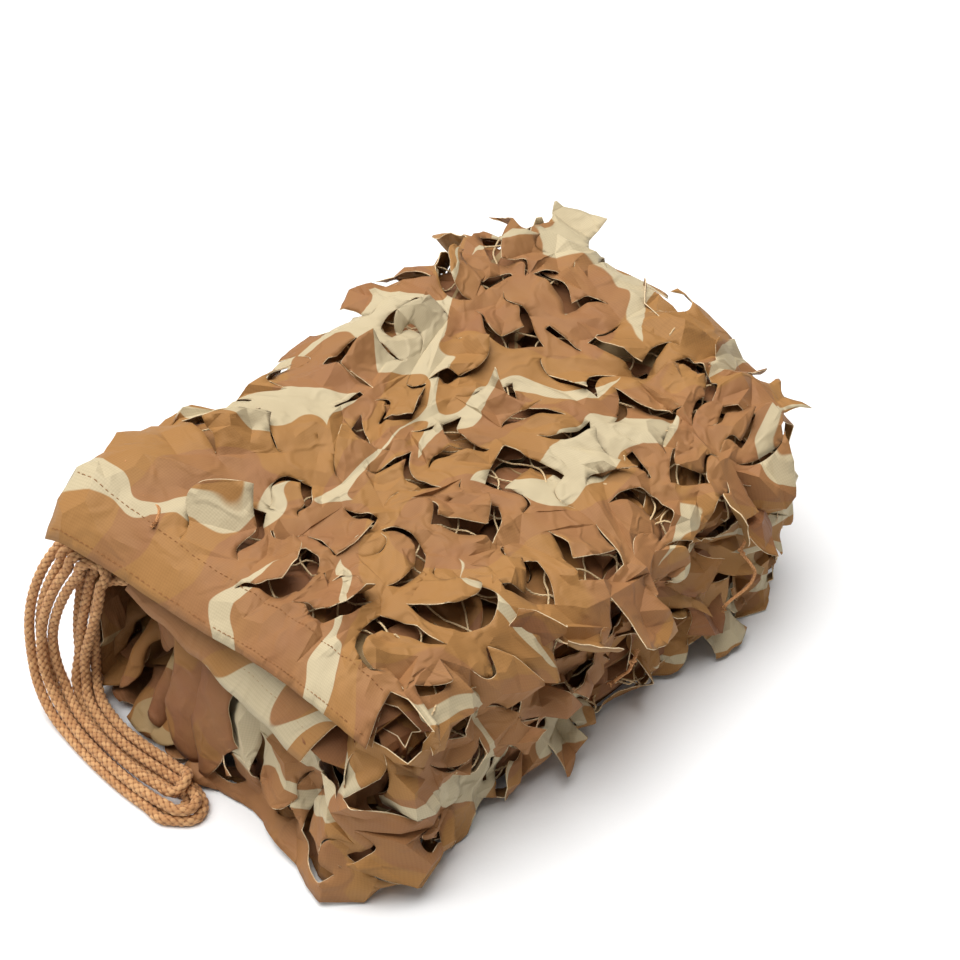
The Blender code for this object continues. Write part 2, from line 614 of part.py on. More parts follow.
def settled(points):
    """The points after neighbouring turns have been pushed apart and none is left below the floor."""
    line = np.array([tuple(p) for p in points])
    first, second = np.triu_indices(len(line) - 1, 4)
    for count in range(SETTLING):
        if count < EASED_ROUNDS:
            line[1:-1] += EASING * (line[:-2] + line[2:] - 2 * line[1:-1])
        start_a, start_b = line[first], line[second]
        run_a, run_b = line[first + 1] - start_a, line[second + 1] - start_b
        between = start_a - start_b
        aa, bb, ab = (run_a * run_a).sum(1), (run_b * run_b).sum(1), (run_a * run_b).sum(1)
        a0, b0 = (run_a * between).sum(1), (run_b * between).sum(1)
        at_a = np.clip((ab * b0 - bb * a0) / np.maximum(aa * bb - ab * ab, 1e-15), 0.0, 1.0)
        at_b = np.clip((ab * at_a + b0) / bb, 0.0, 1.0)
        at_a = np.clip((ab * at_b - a0) / aa, 0.0, 1.0)
        apart = between + run_a * at_a[:, None] - run_b * at_b[:, None]
        distance = np.linalg.norm(apart, axis=1)
        short = np.maximum(ROPE + ROPE_GAP - distance, 0.0)
        push = apart * (0.3 * short / np.maximum(distance, 1e-6))[:, None]
        for ends, at, sign in ((first, at_a, 1.0), (second, at_b, -1.0)):
            np.add.at(line, ends, sign * push * (1.0 - at)[:, None])
            np.add.at(line, ends + 1, sign * push * at[:, None])
        line[:, 2] = np.maximum(line[:, 2], ROPE / 2 + 0.0001)
    return [Vector(p) for p in line]


def tube(name, points, diameter, material, sides):
    """A round line with closed ends."""
    curve = bpy.data.curves.new(name, "CURVE")
    curve.dimensions = "3D"
    curve.bevel_depth = diameter / 2
    curve.bevel_resolution = sides
    curve.use_fill_caps = True
    spline = curve.splines.new("POLY")
    spline.points.add(len(points) - 1)
    for point, place in zip(spline.points, points):
        point.co = (*place, 1.0)
    made = bpy.data.objects.new(name, curve)
    bpy.context.scene.collection.objects.link(made)
    made.data.materials.append(finish(material))
    return made


def build_rope(cloth):
    """The border rope's loose hank, as one tube whose first end touches the hem that it comes out of."""
    line = settled(smooth_line(hank_route(), ROPE_POINTS))
    nearest = cloth.find_nearest(line[0])[0]
    line[0] = nearest + (line[0] - nearest).normalized() * (ROPE / 2 + ROPE_GAP)
    return tube("border_rope", line, ROPE, "rope", 2)


def way_to_cloth(cloth, start, toward, reach):
    """How far a string of that radius can move from start towards the cloth."""
    sideways = Vector((1.0, 0.0, 0.0))
    other = toward.cross(sideways)
    found = []
    for a, b in ((0, 0), (1, 0), (-1, 0), (0, 1), (0, -1)):
        hit = cloth.ray_cast(start + (sideways * a + other * b) * reach * 1.3, toward)
        if hit[0] is not None:
            found.append(hit[3])
    return min(found) - reach - CLEAR


def build_tie(cloth, tie):
    """One tie: a string with a knot near one end, lying on the cloth, its tips a little raised."""
    on_top = tie.face == "top"
    toward = Vector((0.0, 0.0, -1.0)) if on_top else Vector((0.0, 1.0, 0.0))
    up = Vector((0.0, 1.0, 0.0)) if on_top else Vector((0.0, 0.0, 1.0))
    knot = Vector((tie.x, tie.across, 0.1)) if on_top else Vector((tie.x, -0.1, tie.across))
    starts, ways, widths = [], [], []
    steps_end, steps_tail = round(tie.end / TIE_STEP), round(tie.tail / TIE_STEP)
    for k in range(-steps_end, steps_tail + 1):
        bend = math.radians(tie.turn + (150.0 if k < 0 else 24.0 * math.sin(0.5 * k)))
        away = abs(k) * TIE_STEP
        width = KNOT if k == 0 else TIE
        place = knot + (Vector((1.0, 0.0, 0.0)) * math.cos(bend) + up * math.sin(bend)) * away
        starts.append(place - toward * 0.3)
        ways.append(way_to_cloth(cloth, starts[-1], toward, width / 2))
        widths.append(width / TIE)
    # The string bridges a step in the cloth, so each point keeps as far off as its neighbours
    kept = [min(ways[max(k - 1, 0) : k + 2]) for k in range(len(ways))]
    points = [start + toward * way for start, way in zip(starts, kept)]
    made = tube(tie.name, points, TIE, "tie", 1)
    for point, width in zip(made.data.splines[0].points, widths):
        point.radius = width
    return made


def main():
    clear_scene()
    net = build_net()
    cloth = BVHTree.FromObject(net, bpy.context.evaluated_depsgraph_get())
    rope = build_rope(cloth)
    ties = [build_tie(cloth, tie) for tie in TIES]
    place = bpy.data.objects.new("place", None)
    place.location = CORE_PLACE
    bpy.context.scene.collection.objects.link(place)
    for piece in (net, rope, *ties):
        piece.parent = place


main()
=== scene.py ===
"""Dresses the folded camouflage net: its incised cloth, the net behind it, its ties and its border rope.

Lengths are in metres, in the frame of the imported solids: X runs along the packet to its right end, Y to
its back and Z up, and the packet lies on the plane z = 0. Cloth is cut flat, with coordinates along the
packet and round it, and then carried to the packet's uneven skin.
"""

import logging
import math
from collections.abc import Callable, Sequence
from dataclasses import dataclass, field
from enum import Enum
from itertools import product
from typing import Any, NamedTuple

import bpy
import numpy as np
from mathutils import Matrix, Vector
from mathutils.bvhtree import BVHTree
from mathutils.geometry import delaunay_2d_cdt

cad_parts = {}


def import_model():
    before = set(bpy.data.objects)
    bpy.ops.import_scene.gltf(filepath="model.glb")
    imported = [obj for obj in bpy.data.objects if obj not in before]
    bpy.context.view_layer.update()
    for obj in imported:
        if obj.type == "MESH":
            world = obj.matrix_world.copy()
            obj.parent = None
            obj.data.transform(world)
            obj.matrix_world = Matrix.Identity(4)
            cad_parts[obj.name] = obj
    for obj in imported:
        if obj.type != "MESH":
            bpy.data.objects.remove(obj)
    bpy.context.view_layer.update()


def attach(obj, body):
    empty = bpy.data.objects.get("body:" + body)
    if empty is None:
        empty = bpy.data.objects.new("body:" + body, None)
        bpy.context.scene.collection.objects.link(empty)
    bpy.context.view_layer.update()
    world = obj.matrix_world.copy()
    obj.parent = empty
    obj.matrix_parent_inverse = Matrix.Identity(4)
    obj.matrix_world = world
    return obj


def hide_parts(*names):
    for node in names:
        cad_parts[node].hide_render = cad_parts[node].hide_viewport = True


LOG = logging.getLogger("netting")
NET_NODE = "camouflage_net"
ROPE_NODE = "border_rope"
BODY = "root"
FLOOR_REST = 0.0012  # the lowest that the middle of a layer lies

Array = np.ndarray
Draws = np.random.Generator
Piece = bpy.types.Object
Span = tuple[float, float]
Place = tuple[float, float, float]
Colour = tuple[float, float, float]
Holds = Callable[[Array], Array]  # says whether places lie on the cloth


# Small tools


def spline(values: Array, at: Array) -> Array:
    """Reads a Catmull-Rom curve through evenly spaced values.

    Args:
        values: the values, one row each.
        at: fractional indices into them.

    Returns:
        The curve's value at each index.
    """
    last = len(values) - 1
    at = np.clip(at, 0.0, last)
    i = np.minimum(at.astype(int), last - 1)
    t = at - i
    if values.ndim > 1:
        t = t[:, None]
    a, b, c, d = (values[np.clip(i + k, 0, last)] for k in (-1, 0, 1, 2))
    return 0.5 * (2 * b + (c - a) * t + (2 * a - 5 * b + 4 * c - d) * t**2 + (3 * (b - c) + d - a) * t**3)


def unit(vectors: Array) -> Array:
    """The vectors, one a row, at length one."""
    return vectors / np.maximum(np.linalg.norm(vectors, axis=-1, keepdims=True), 1e-12)


def columns(*parts: Array) -> Array:
    """The parts side by side, a column each."""
    return np.stack(parts, axis=1)


def ease(x: Array) -> Array:
    """A smooth step from 0 to 1."""
    x = np.clip(x, 0.0, 1.0)
    return x * x * (3 - 2 * x)


def runs_along(points: Array) -> Array:
    """How far along a line each of its points is."""
    return np.concatenate([[0.0], np.cumsum(np.linalg.norm(np.diff(points, axis=0), axis=1))])


def evened(points: Array, step: float) -> Array:
    """Spreads points evenly along a line.

    Args:
        points: the line's corners, one a row.
        step: about how far apart the new points are.

    Returns:
        The new points, the two ends among them.
    """
    runs = runs_along(points)
    count = max(int(round(runs[-1] / step)), 2)
    at = np.linspace(0.0, runs[-1], count + 1)
    return np.stack([np.interp(at, runs, points[:, k]) for k in range(points.shape[1])], axis=1)


def stepped(corners: Array, step: float) -> Array:
    """Points evenly along each run of a line of corners, the corners among them."""
    runs = [evened(corners[k : k + 2], step)[:-1] for k in range(len(corners) - 1)]
    return np.concatenate([*runs, corners[-1:]])


def smoothed(points: Array, finer: int, step: float) -> Array:
    """A smooth line through points: its curve is read at finer times as many, then spread a step apart."""
    return evened(spline(points, np.linspace(0.0, len(points) - 1.0, finer * len(points))), step)


def crossed(first: Array, second: Array) -> Array:
    """The cross products of flat vectors, one a row."""
    return first[:, 0] * second[:, 1] - first[:, 1] * second[:, 0]


def scattered(low: Array, high: Array, step: float, share: float, rng: Draws) -> Array:
    """Points over a rectangle in staggered rows, each moved a little at random.

    Args:
        low: the rectangle's lowest corner.
        high: its highest corner.
        step: from point to point.
        share: how far they are moved at most, as a share of the step.
        rng: the random draws.

    Returns:
        The points, one a row.
    """
    high_step = step * math.sqrt(0.75)
    x, y = np.meshgrid(np.arange(low[0], high[0], step), np.arange(low[1], high[1], high_step))
    x = x + (np.arange(len(y)) % 2 * step / 2)[:, None]
    points = columns(x.ravel(), y.ravel())
    return points + rng.uniform(-share * step, share * step, points.shape)


def joined_up(lines: list[Array]) -> list[tuple[int, int]]:
    """The edges of lines whose points are numbered one line after another."""
    starts = np.cumsum([0] + [len(line) for line in lines]).tolist()
    return [(start + k, start + k + 1) for start, line in zip(starts, lines) for k in range(len(line) - 1)]


def rest(points: Array, height: float) -> Array:
    """The same points, those lower than a height lifted to it."""
    points[:, 2] = np.maximum(points[:, 2], height)
    return points


def quads(rows: int, columns: int, closed: bool = False) -> Array:
    """The quads of a grid of points that lie row by row.

    Args:
        rows: how many rows.
        columns: how many points in each.
        closed: whether each row is a ring, its last point joined to its first.

    Returns:
        The four corners of each quad.
    """
    k, j = np.meshgrid(np.arange(rows - 1), np.arange(columns - (not closed)), indexing="ij")
    a, b = k * columns + j, k * columns + (j + 1) % columns
    return np.stack([c.ravel() for c in (a, b, b + columns, a + columns)], axis=1)


class Ripples:
    """A smooth uneven field of about unit height over the flat, the same at every run."""

    SINES = 22

    def __init__(self, seed: int, wavelength: float) -> None:
        """Draws the waves.

        Args:
            seed: what the random draws start from.
            wavelength: from crest to crest, about.
        """
        rng = np.random.default_rng(seed)
        way = unit(rng.normal(size=(self.SINES, 2)))
        self.waves = way * (2 * math.pi / wavelength) * rng.uniform(0.6, 1.5, (self.SINES, 1))
        self.starts = rng.uniform(0.0, 2 * math.pi, self.SINES)
        self.scale = math.sqrt(2.0 / self.SINES)

    def __call__(self, places: Array) -> Array:
        """The field's height at each place."""
        return np.sin(places @ self.waves.T + self.starts).sum(axis=1) * self.scale


# The form of the packet, as the solids have it


class Wave(NamedTuple):
    """A sine over two coordinates: its height, its turns along and across in radians, and its start."""

    height: float
    along: float
    across: float
    start: float

    def at(self, along: Array, across: Array) -> Array:
        """The sine's height at places given by two coordinates."""
        return self.height * np.sin(self.along * along + self.across * across + self.start)


@dataclass(frozen=True)
class Packet:
    """The folded packet's uneven form. x runs along it; a row is half of the cloth's stations round it."""

    left: float = -0.156
    right: float = 0.170
    rows: int = 11
    top_rows: tuple[int, int] = (3, 8)
    place: Place = (-0.0055, 0.0022, 0.0)
    half: float = 0.1085
    ply: float = 0.0066
    pitch: float = 0.0104
    plies: int = 12
    cells: int = 5
    skew: float = 0.012
    back_rise: float = 0.10
    twist: float = 0.04
    right_fall: float = 0.02
    side_taper: float = 0.003
    right_crown: float = 0.35
    right_narrowing: float = 0.02
    top_wave: Wave = Wave(0.012, 5.1, 3.7, 1.3)
    side_waves: tuple[Wave, ...] = (Wave(0.0030, 19.0, 38.0, 0.6), Wave(0.0022, 47.0, 25.0, -1.1))
    right_wave: Wave = Wave(0.003, 2.1, 4.4, 0.0)
    left_wave: Wave = Wave(0.0025, 1.9, 3.1, 0.0)
    row_sway: Wave = Wave(0.007, 0.0, 2.1, 0.5)
    column_sway: Wave = Wave(0.22, 2.0, 1.4, 0.0)
    hem_wave: Wave = Wave(0.15, 5.0, 0.0, 0.6)
    back_hem_wave: Wave = Wave(0.004, 2.6, 0.0, 0.7)
    hem_width: float = 0.028
    hem_drop: float = 0.018
    hem_flare: float = 0.010
    back_hem_width: float = 0.015
    section: tuple[Span, ...] = (
        (0.117, 0.006), (0.127, 0.025), (0.121, 0.045), (0.129, 0.067), (0.122, 0.089), (0.126, 0.112),
        (0.112, 0.131), (0.090, 0.1355), (0.067, 0.1370), (0.045, 0.1365), (0.022, 0.1355), (0.000, 0.1360),
        (-0.022, 0.1370), (-0.045, 0.1365), (-0.067, 0.1350), (-0.090, 0.1335), (-0.112, 0.1290),
        (-0.127, 0.110), (-0.121, 0.087), (-0.130, 0.065), (-0.122, 0.043), (-0.129, 0.023), (-0.119, 0.005),
    )
    right_roll: tuple[Span, ...] = (
        (0.000, 0.131), (0.013, 0.112), (0.008, 0.089), (0.015, 0.067), (0.009, 0.045), (0.014, 0.025),
        (0.006, 0.006),
    )
    left_roll: tuple[Span, ...] = (
        (0.000, 0.000), (0.010, 0.018), (0.016, 0.044), (0.020, 0.070), (0.030, 0.095),
    )
    ply_ends: tuple[Span, ...] = (
        (-0.160, 0.164), (-0.163, 0.166), (-0.156, 0.165), (-0.158, 0.162), (-0.148, 0.166), (-0.142, 0.164),
        (-0.138, 0.166), (-0.145, 0.163), (-0.150, 0.165), (-0.159, 0.164), (-0.150, 0.163), (-0.157, 0.162),
    )
    drape_ply: int = 9
    drape_cells: int = 3
    hem_ply: int = 11

    def ply_height(self, index: float) -> float:
        """The middle height of an inner ply of the straight packet."""
        return self.ply / 2 + index * self.pitch

    def crown(self, x: Array, y: Array) -> Array:
        """The packet's height there as a share of its section's."""
        u, v = x / self.right, y / self.half
        return 1.0 + self.back_rise * v + self.twist * u * v - self.right_fall * u + self.top_wave.at(u, v)

    def bulge(self, x: Array, y: Array, z: Array) -> Array:
        """How much further out the sides stand.

        Args:
            x, y, z: places of the straight packet.

        Returns:
            The way that each goes along y.
        """
        side = np.where(y > 0, 1.0, -1.0)
        swell = sum(wave.at(x, z * side) for wave in self.side_waves)
        return side * (swell - self.side_taper * (x / self.right) ** 2)

    def uneven(self, x: Array, y: Array, z: Array) -> Array:
        """Carries points of the straight packet to the uneven one.

        Args:
            x, y, z: their coordinates.

        Returns:
            The points.
        """
        width = np.minimum(np.abs(y) / self.half, 1.0) ** 2
        leftness = (self.right - x) / (self.right - self.left)
        ahead = x - self.skew * leftness * y / self.half
        return columns(ahead, y + self.bulge(x, y, z) * width, z * self.crown(x, y))

    def packed(self, x: Array, y: Array, z: Array) -> Array:
        """Carries points of the inner plies: they follow the packet, but the lowest is flat.

        Args:
            x, y, z: their coordinates.

        Returns:
            The points.
        """
        share = np.clip((z - self.ply / 2) / (3 * self.pitch), 0.0, 1.0)
        moved = self.uneven(x, y, z)
        return columns(x, y + (moved[:, 1] - y) * share, z + (moved[:, 2] - z) * share)

    def turn(self, x: Array, row: Array) -> Array:
        """The outer turn's surface.

        Args:
            x: how far along the packet.
            row: rows from the back foot, over the top to the front foot.

        Returns:
            The points.
        """
        u = math.pi * (x - self.left) / (self.right - self.left)
        swayed_x = x + self.row_sway.at(0.0, row) * np.sin(u)
        swayed = row + self.column_sway.at(u, row) * np.sin(math.pi * row / self.rows)
        across = spline(np.array(self.section), 2 * swayed)
        return self.uneven(swayed_x, across[:, 0], across[:, 1])

    def right_end(self, step: Array, row: Array) -> Array:
        """The right end's surface.

        Args:
            step: units down from its top edge.
            row: rows from the back to the front.

        Returns:
            The points.
        """
        roll = spline(np.array(self.right_roll), 2 * step)
        edge = self.turn(np.full(len(row), self.right), row)
        middle = 1.0 - (edge[:, 1] / self.half) ** 2
        down = np.minimum(step, 1.0)
        x = self.right + roll[:, 0] * (1.0 + self.right_crown * middle) + self.right_wave.at(step, row) * down
        y = edge[:, 1] * (1.0 - self.right_narrowing * down)
        return columns(x, y, edge[:, 2] * roll[:, 1] / self.right_roll[0][1])

    def left_drape(self, cell: Array, step: Array) -> Array:
        """The left drape's surface.

        Args:
            cell: cells from its back edge to the front.
            step: units down.

        Returns:
            The points.
        """
        y = self.half * (2 * (self.drape_cells - cell) / self.cells - 1)
        height = self.ply_height(self.drape_ply)
        ones = np.ones(len(y))
        start = self.packed(self.ply_ends[self.drape_ply][0] * ones, y, height * ones)
        roll = spline(np.array(self.left_roll), 2 * step)
        wave = self.left_wave.at(step, cell) * np.minimum(step, 1.0)
        fall = roll[:, 1] * start[:, 2] / height
        return start + columns(wave - roll[:, 0], 0 * wave, -fall)

    def top_hem(self, row: Array, across: Array) -> Array:
        """The top hem, which sags over the left end.

        Args:
            row: rows from the back to the front.
            across: 0 at the leaf rows and 1 at its edge.

        Returns:
            The points.
        """
        front = (row - self.top_rows[0]) / (self.top_rows[1] - self.top_rows[0])
        droop = self.hem_drop * (1.0 + self.hem_wave.at(front, 0.0)) * across**2
        start = self.turn(np.full(len(row), self.left), row)
        return start + columns(-self.hem_width * across, -self.hem_flare * across * front**2, -droop)

    def back_hem(self, row: Array, across: Array) -> Array:
        """The uneven plain border of the outer turn on the back."""
        return self.turn(self.left - (self.back_hem_width + self.back_hem_wave.at(row, 0.0)) * across, row)


# Cloth cut flat and carried to the packet


class Band(Enum):
    """The part of the way round the packet that a row belongs to."""

    BACK = -1
    TOP = 0
    FRONT = 1


class Area(NamedTuple):
    """A rectangle of the flat cloth, in metres along the packet and in rows round it."""

    start: float
    end: float
    row: float
    last_row: float

    def holds(self, along: Array, row: Array) -> Array:
        """Whether places lie in it."""
        return (along > self.start) & (along < self.end) & (row > self.row) & (row < self.last_row)


@dataclass(frozen=True)
class Wrap:
    """How the flat outer cloth goes round the packet: x along it, then metres round it, and over its ends."""

    packet: Packet = field(default_factory=Packet)
    run: float = 0.0442  # cloth from row to row
    fall: float = 0.0435  # cloth from step to step down the right end
    falls: int = 3
    corner: float = 0.030  # cloth round an upright corner
    corner_swell: float = 0.006
    tuck: float = 0.012  # cloth that goes on behind the end's own
    drape_row: float = 8.75
    drape_rise: float = 0.045  # from step to step above the ply that the drape hangs from
    look_ahead: float = 0.004  # how far off the slope of the skin is read

    @property
    def cell(self) -> float:
        """The width of a cell of the plies."""
        return 2 * self.packet.half / self.packet.cells

    @property
    def areas(self) -> list[Area]:
        """The rectangles of the flat cloth."""
        p, (first, last) = self.packet, self.packet.top_rows
        return [
            Area(p.left, p.right, 0, p.rows),
            Area(p.left - p.hem_width, p.left, first, last),
            Area(p.left - p.back_hem_width, p.left, 0, first - 1),
            Area(p.right, p.right + self.falls * self.fall, first, last),
            Area(p.right, p.right + self.corner + self.tuck, 0, first),
            Area(p.right, p.right + self.corner + self.tuck, last, p.rows),
            Area(p.left - self.corner - p.drape_cells * self.cell, p.left, self.drape_row, p.rows),
        ]

    @property
    def outlines(self) -> list[Array]:
        """The outlines of the rectangles, closed, as their corners."""
        run = self.run
        return [np.array([(a.start, a.row * run), (a.end, a.row * run), (a.end, a.last_row * run),
                          (a.start, a.last_row * run), (a.start, a.row * run)]) for a in self.areas]

    @property
    def tucks(self) -> list[Array]:
        """The two cuts between the right end's cloth and the front and back."""
        start, end = self.packet.right, self.packet.right + self.corner + self.tuck
        return [np.array([(start, row * self.run), (end, row * self.run)]) for row in self.packet.top_rows]

    def row(self, flat: Array) -> Array:
        """The row that each place is in, as a fraction."""
        return flat[:, 1] / self.run

    def holds(self, flat: Array) -> Array:
        """Whether places are on the cloth."""
        return np.any([area.holds(flat[:, 0], self.row(flat)) for area in self.areas], axis=0)

    def band(self, flat: Array) -> Array:
        """The value of the Band that each place is in."""
        row, (first, last) = self.row(flat), self.packet.top_rows
        return np.where(row < first, Band.BACK.value, np.where(row > last, Band.FRONT.value, Band.TOP.value))

    def skin(self, flat: Array, band: Array | None = None) -> Array:
        """Carries places of the flat cloth to the packet.

        Args:
            flat: metres along the packet and round it, one place a row.
            band: the band of each place, where it isn't its own.

        Returns:
            The points in space.
        """
        p = self.packet
        band = self.band(flat) if band is None else band
        s, row = flat[:, 0], self.row(flat)
        points = p.turn(np.clip(s, p.left, p.right), row)
        top, right, left = band == Band.TOP.value, s > p.right, s < p.left
        for mask, way in (
            (right & top, lambda s, r: p.right_end((s - p.right) / self.fall, r)),
            (right & (band == Band.FRONT.value), lambda s, r: self.right_corner(s, r, 1)),
            (right & (band == Band.BACK.value), lambda s, r: self.right_corner(s, r, -1)),
            (left & top, lambda s, r: p.top_hem(r, (p.left - s) / p.hem_width)),
            (left & (band == Band.BACK.value), lambda s, r: p.back_hem(r, (p.left - s) / p.back_hem_width)),
            (left & (band == Band.FRONT.value), self.front_drape),
        ):
            if mask.any():
                points[mask] = way(s[mask], row[mask])
        return points + np.array(p.place)

    def right_corner(self, s: Array, row: Array, side: int) -> Array:
        """The cloth round an upright corner at the right end, and its tuck.

        Args:
            s: metres along the packet.
            row: rows round it.
            side: 1 at the front, -1 at the back.

        Returns:
            The points.
        """
        p = self.packet
        edge = p.top_rows[1] if side > 0 else p.top_rows[0]
        step = np.maximum((row - edge) * side, 0.0)
        round_it = (s - p.right) / self.corner
        share = np.minimum(round_it, 1.0)[:, None]
        beyond = np.maximum(round_it - 1.0, 0.0) * self.corner / self.run
        start = p.turn(np.full(len(s), p.right), row)
        end = p.right_end(step, edge - side * beyond)
        swell = self.corner_swell * np.sin(math.pi * share) * np.minimum(step, 1.0)[:, None]
        inside = np.minimum(beyond, 0.05)[:, None] * np.array([-0.04, 0.0, 0.0])
        return start + (end - start) * share + swell * np.array([0.7, -0.7 * side, 0.0]) + inside

    def front_drape(self, s: Array, row: Array) -> Array:
        """The cloth from the front round the left corner and on over half the left end.

        Args:
            s: metres along the packet.
            row: rows round it.

        Returns:
            The points.
        """
        p = self.packet
        step = row - (p.rows - 2)
        round_it = (p.left - s) / self.corner
        share = np.minimum(round_it, 1.0)[:, None]
        cell = p.drape_cells - np.maximum(round_it - 1.0, 0.0) * self.corner / self.cell
        start = p.turn(np.full(len(s), p.left), row)
        end = p.left_drape(cell, np.maximum(step, 0.0))
        end[:, 2] += np.maximum(-step, 0.0) * self.drape_rise
        swell = self.corner_swell * np.sin(math.pi * share)
        return start + (end - start) * share + swell * np.array([-0.7, -0.7, 0.0])

    def frame(self, flat: Array, band: Array | None = None) -> tuple[Array, Array, Array, Array]:
        """The skin at places of the flat cloth.

        Args:
            flat: the places.
            band: the band of each place, where it isn't its own.

        Returns:
            The points, how far a metre of cloth along and round goes there, and the way out.
        """
        band, step = self.band(flat) if band is None else band, self.look_ahead
        along = self.skin(flat + (step, 0), band) - self.skin(flat - (step, 0), band)
        round_it = self.skin(flat + (0, step), band) - self.skin(flat - (0, step), band)
        out = unit(np.cross(round_it, along))
        return self.skin(flat, band), along / (2 * step), round_it / (2 * step), out


class Tongue(NamedTuple):
    """The cut that frees a leaf, and which of its corners stay square.

    The corners run from one end of the hinge to the other, in leaf widths and lengths.
    """

    corners: tuple[Span, ...]
    sharp: tuple[int, ...] = ()


class LeafCut(Enum):
    """The shapes that the cloth's leaves are cut to."""

    SAIL = Tongue((
        (-0.60, -0.10), (-0.48, 0.12), (-0.46, 0.50), (-0.36, 0.92), (0.02, 0.98), (0.40, 0.84),
        (0.56, 0.52), (0.44, 0.28), (0.50, 0.02), (0.64, -0.16)), (3, 6))
    ARROW = Tongue((
        (-0.46, -0.18), (-0.26, 0.04), (-0.30, 0.26), (-0.54, 0.50), (-0.28, 0.74), (0.06, 1.02),
        (0.34, 0.74), (0.52, 0.46), (0.26, 0.28), (0.26, 0.06), (0.44, -0.12)), (3, 5, 7))
    TAB = Tongue((
        (-0.62, 0.02), (-0.44, 0.06), (-0.38, 0.50), (-0.48, 0.96), (0.00, 1.0), (0.46, 0.90),
        (0.38, 0.46), (0.42, 0.04)), (3, 5))
    FISHTAIL = Tongue((
        (-0.48, -0.06), (-0.36, 0.16), (-0.34, 0.50), (-0.50, 0.98), (-0.04, 0.72), (0.44, 1.0),
        (0.36, 0.52), (0.40, 0.14), (0.58, -0.08)), (3, 5))
    FANG = Tongue((
        (-0.50, 0.02), (-0.46, 0.34), (-0.22, 0.62), (0.12, 0.80), (0.50, 1.0), (0.38, 0.66),
        (0.36, 0.34), (0.46, 0.08), (0.62, -0.12)), (4,))
    HOOK = Tongue((
        (-0.44, -0.04), (-0.50, 0.32), (-0.38, 0.72), (-0.02, 0.98), (0.40, 0.94), (0.54, 0.66),
        (0.30, 0.60), (0.20, 0.36), (0.34, 0.10), (0.56, 0.00)), (5,))
    BLADE = Tongue((
        (-0.34, -0.16), (-0.30, 0.10), (-0.42, 0.48), (-0.26, 0.84), (0.22, 1.0), (0.30, 0.72),
        (0.44, 0.44), (0.30, 0.12), (0.40, -0.10)), (4,))


class Lie(Enum):
    """How a leaf lies: ranges of its lift at the hinge and of its further bend to the tip, in degrees."""

    LOW = ((4.0, 12.0), (-14.0, 8.0))
    ARCHED = ((22.0, 36.0), (-64.0, -40.0))
    RAISED = ((14.0, 30.0), (8.0, 46.0))
    CURLED = ((30.0, 55.0), (50.0, 110.0))
    FOLDED = ((95.0, 120.0), (30.0, 55.0))
    SUNK = ((-20.0, -10.0), (-10.0, 18.0))


Lies = tuple[tuple[Lie, float], ...]
LIES_ON_TOP: Lies = ((Lie.LOW, 0.54), (Lie.ARCHED, 0.16), (Lie.RAISED, 0.08), (Lie.CURLED, 0.01),
                     (Lie.FOLDED, 0.03), (Lie.SUNK, 0.18))
LIES_ON_SIDES: Lies = ((Lie.LOW, 0.26), (Lie.ARCHED, 0.24), (Lie.RAISED, 0.24), (Lie.CURLED, 0.08),
                       (Lie.SUNK, 0.18))
LIES_AT_BACK: Lies = ((Lie.ARCHED, 0.45), (Lie.RAISED, 0.55))
LIES_UNDER: Lies = ((Lie.LOW, 0.6), (Lie.SUNK, 0.4))
LEAF_WIDTH: Span = (0.029, 0.038)
LEAF_LENGTH: Span = (0.027, 0.036)
SLOT_LENGTH: Span = (0.009, 0.014)
SLOT_WIDTH: Span = (0.0015, 0.0028)
SLOT_LEAN: Span = (-0.7, 0.7)
LEAF_SPANS: dict[str, Span] = {"twist": (-0.55, 0.55), "shear": (-0.22, 0.22), "narrowing": (0.02, 0.16),
                               "cup": (-0.14, 0.18), "pull": (0.80, 1.06)}


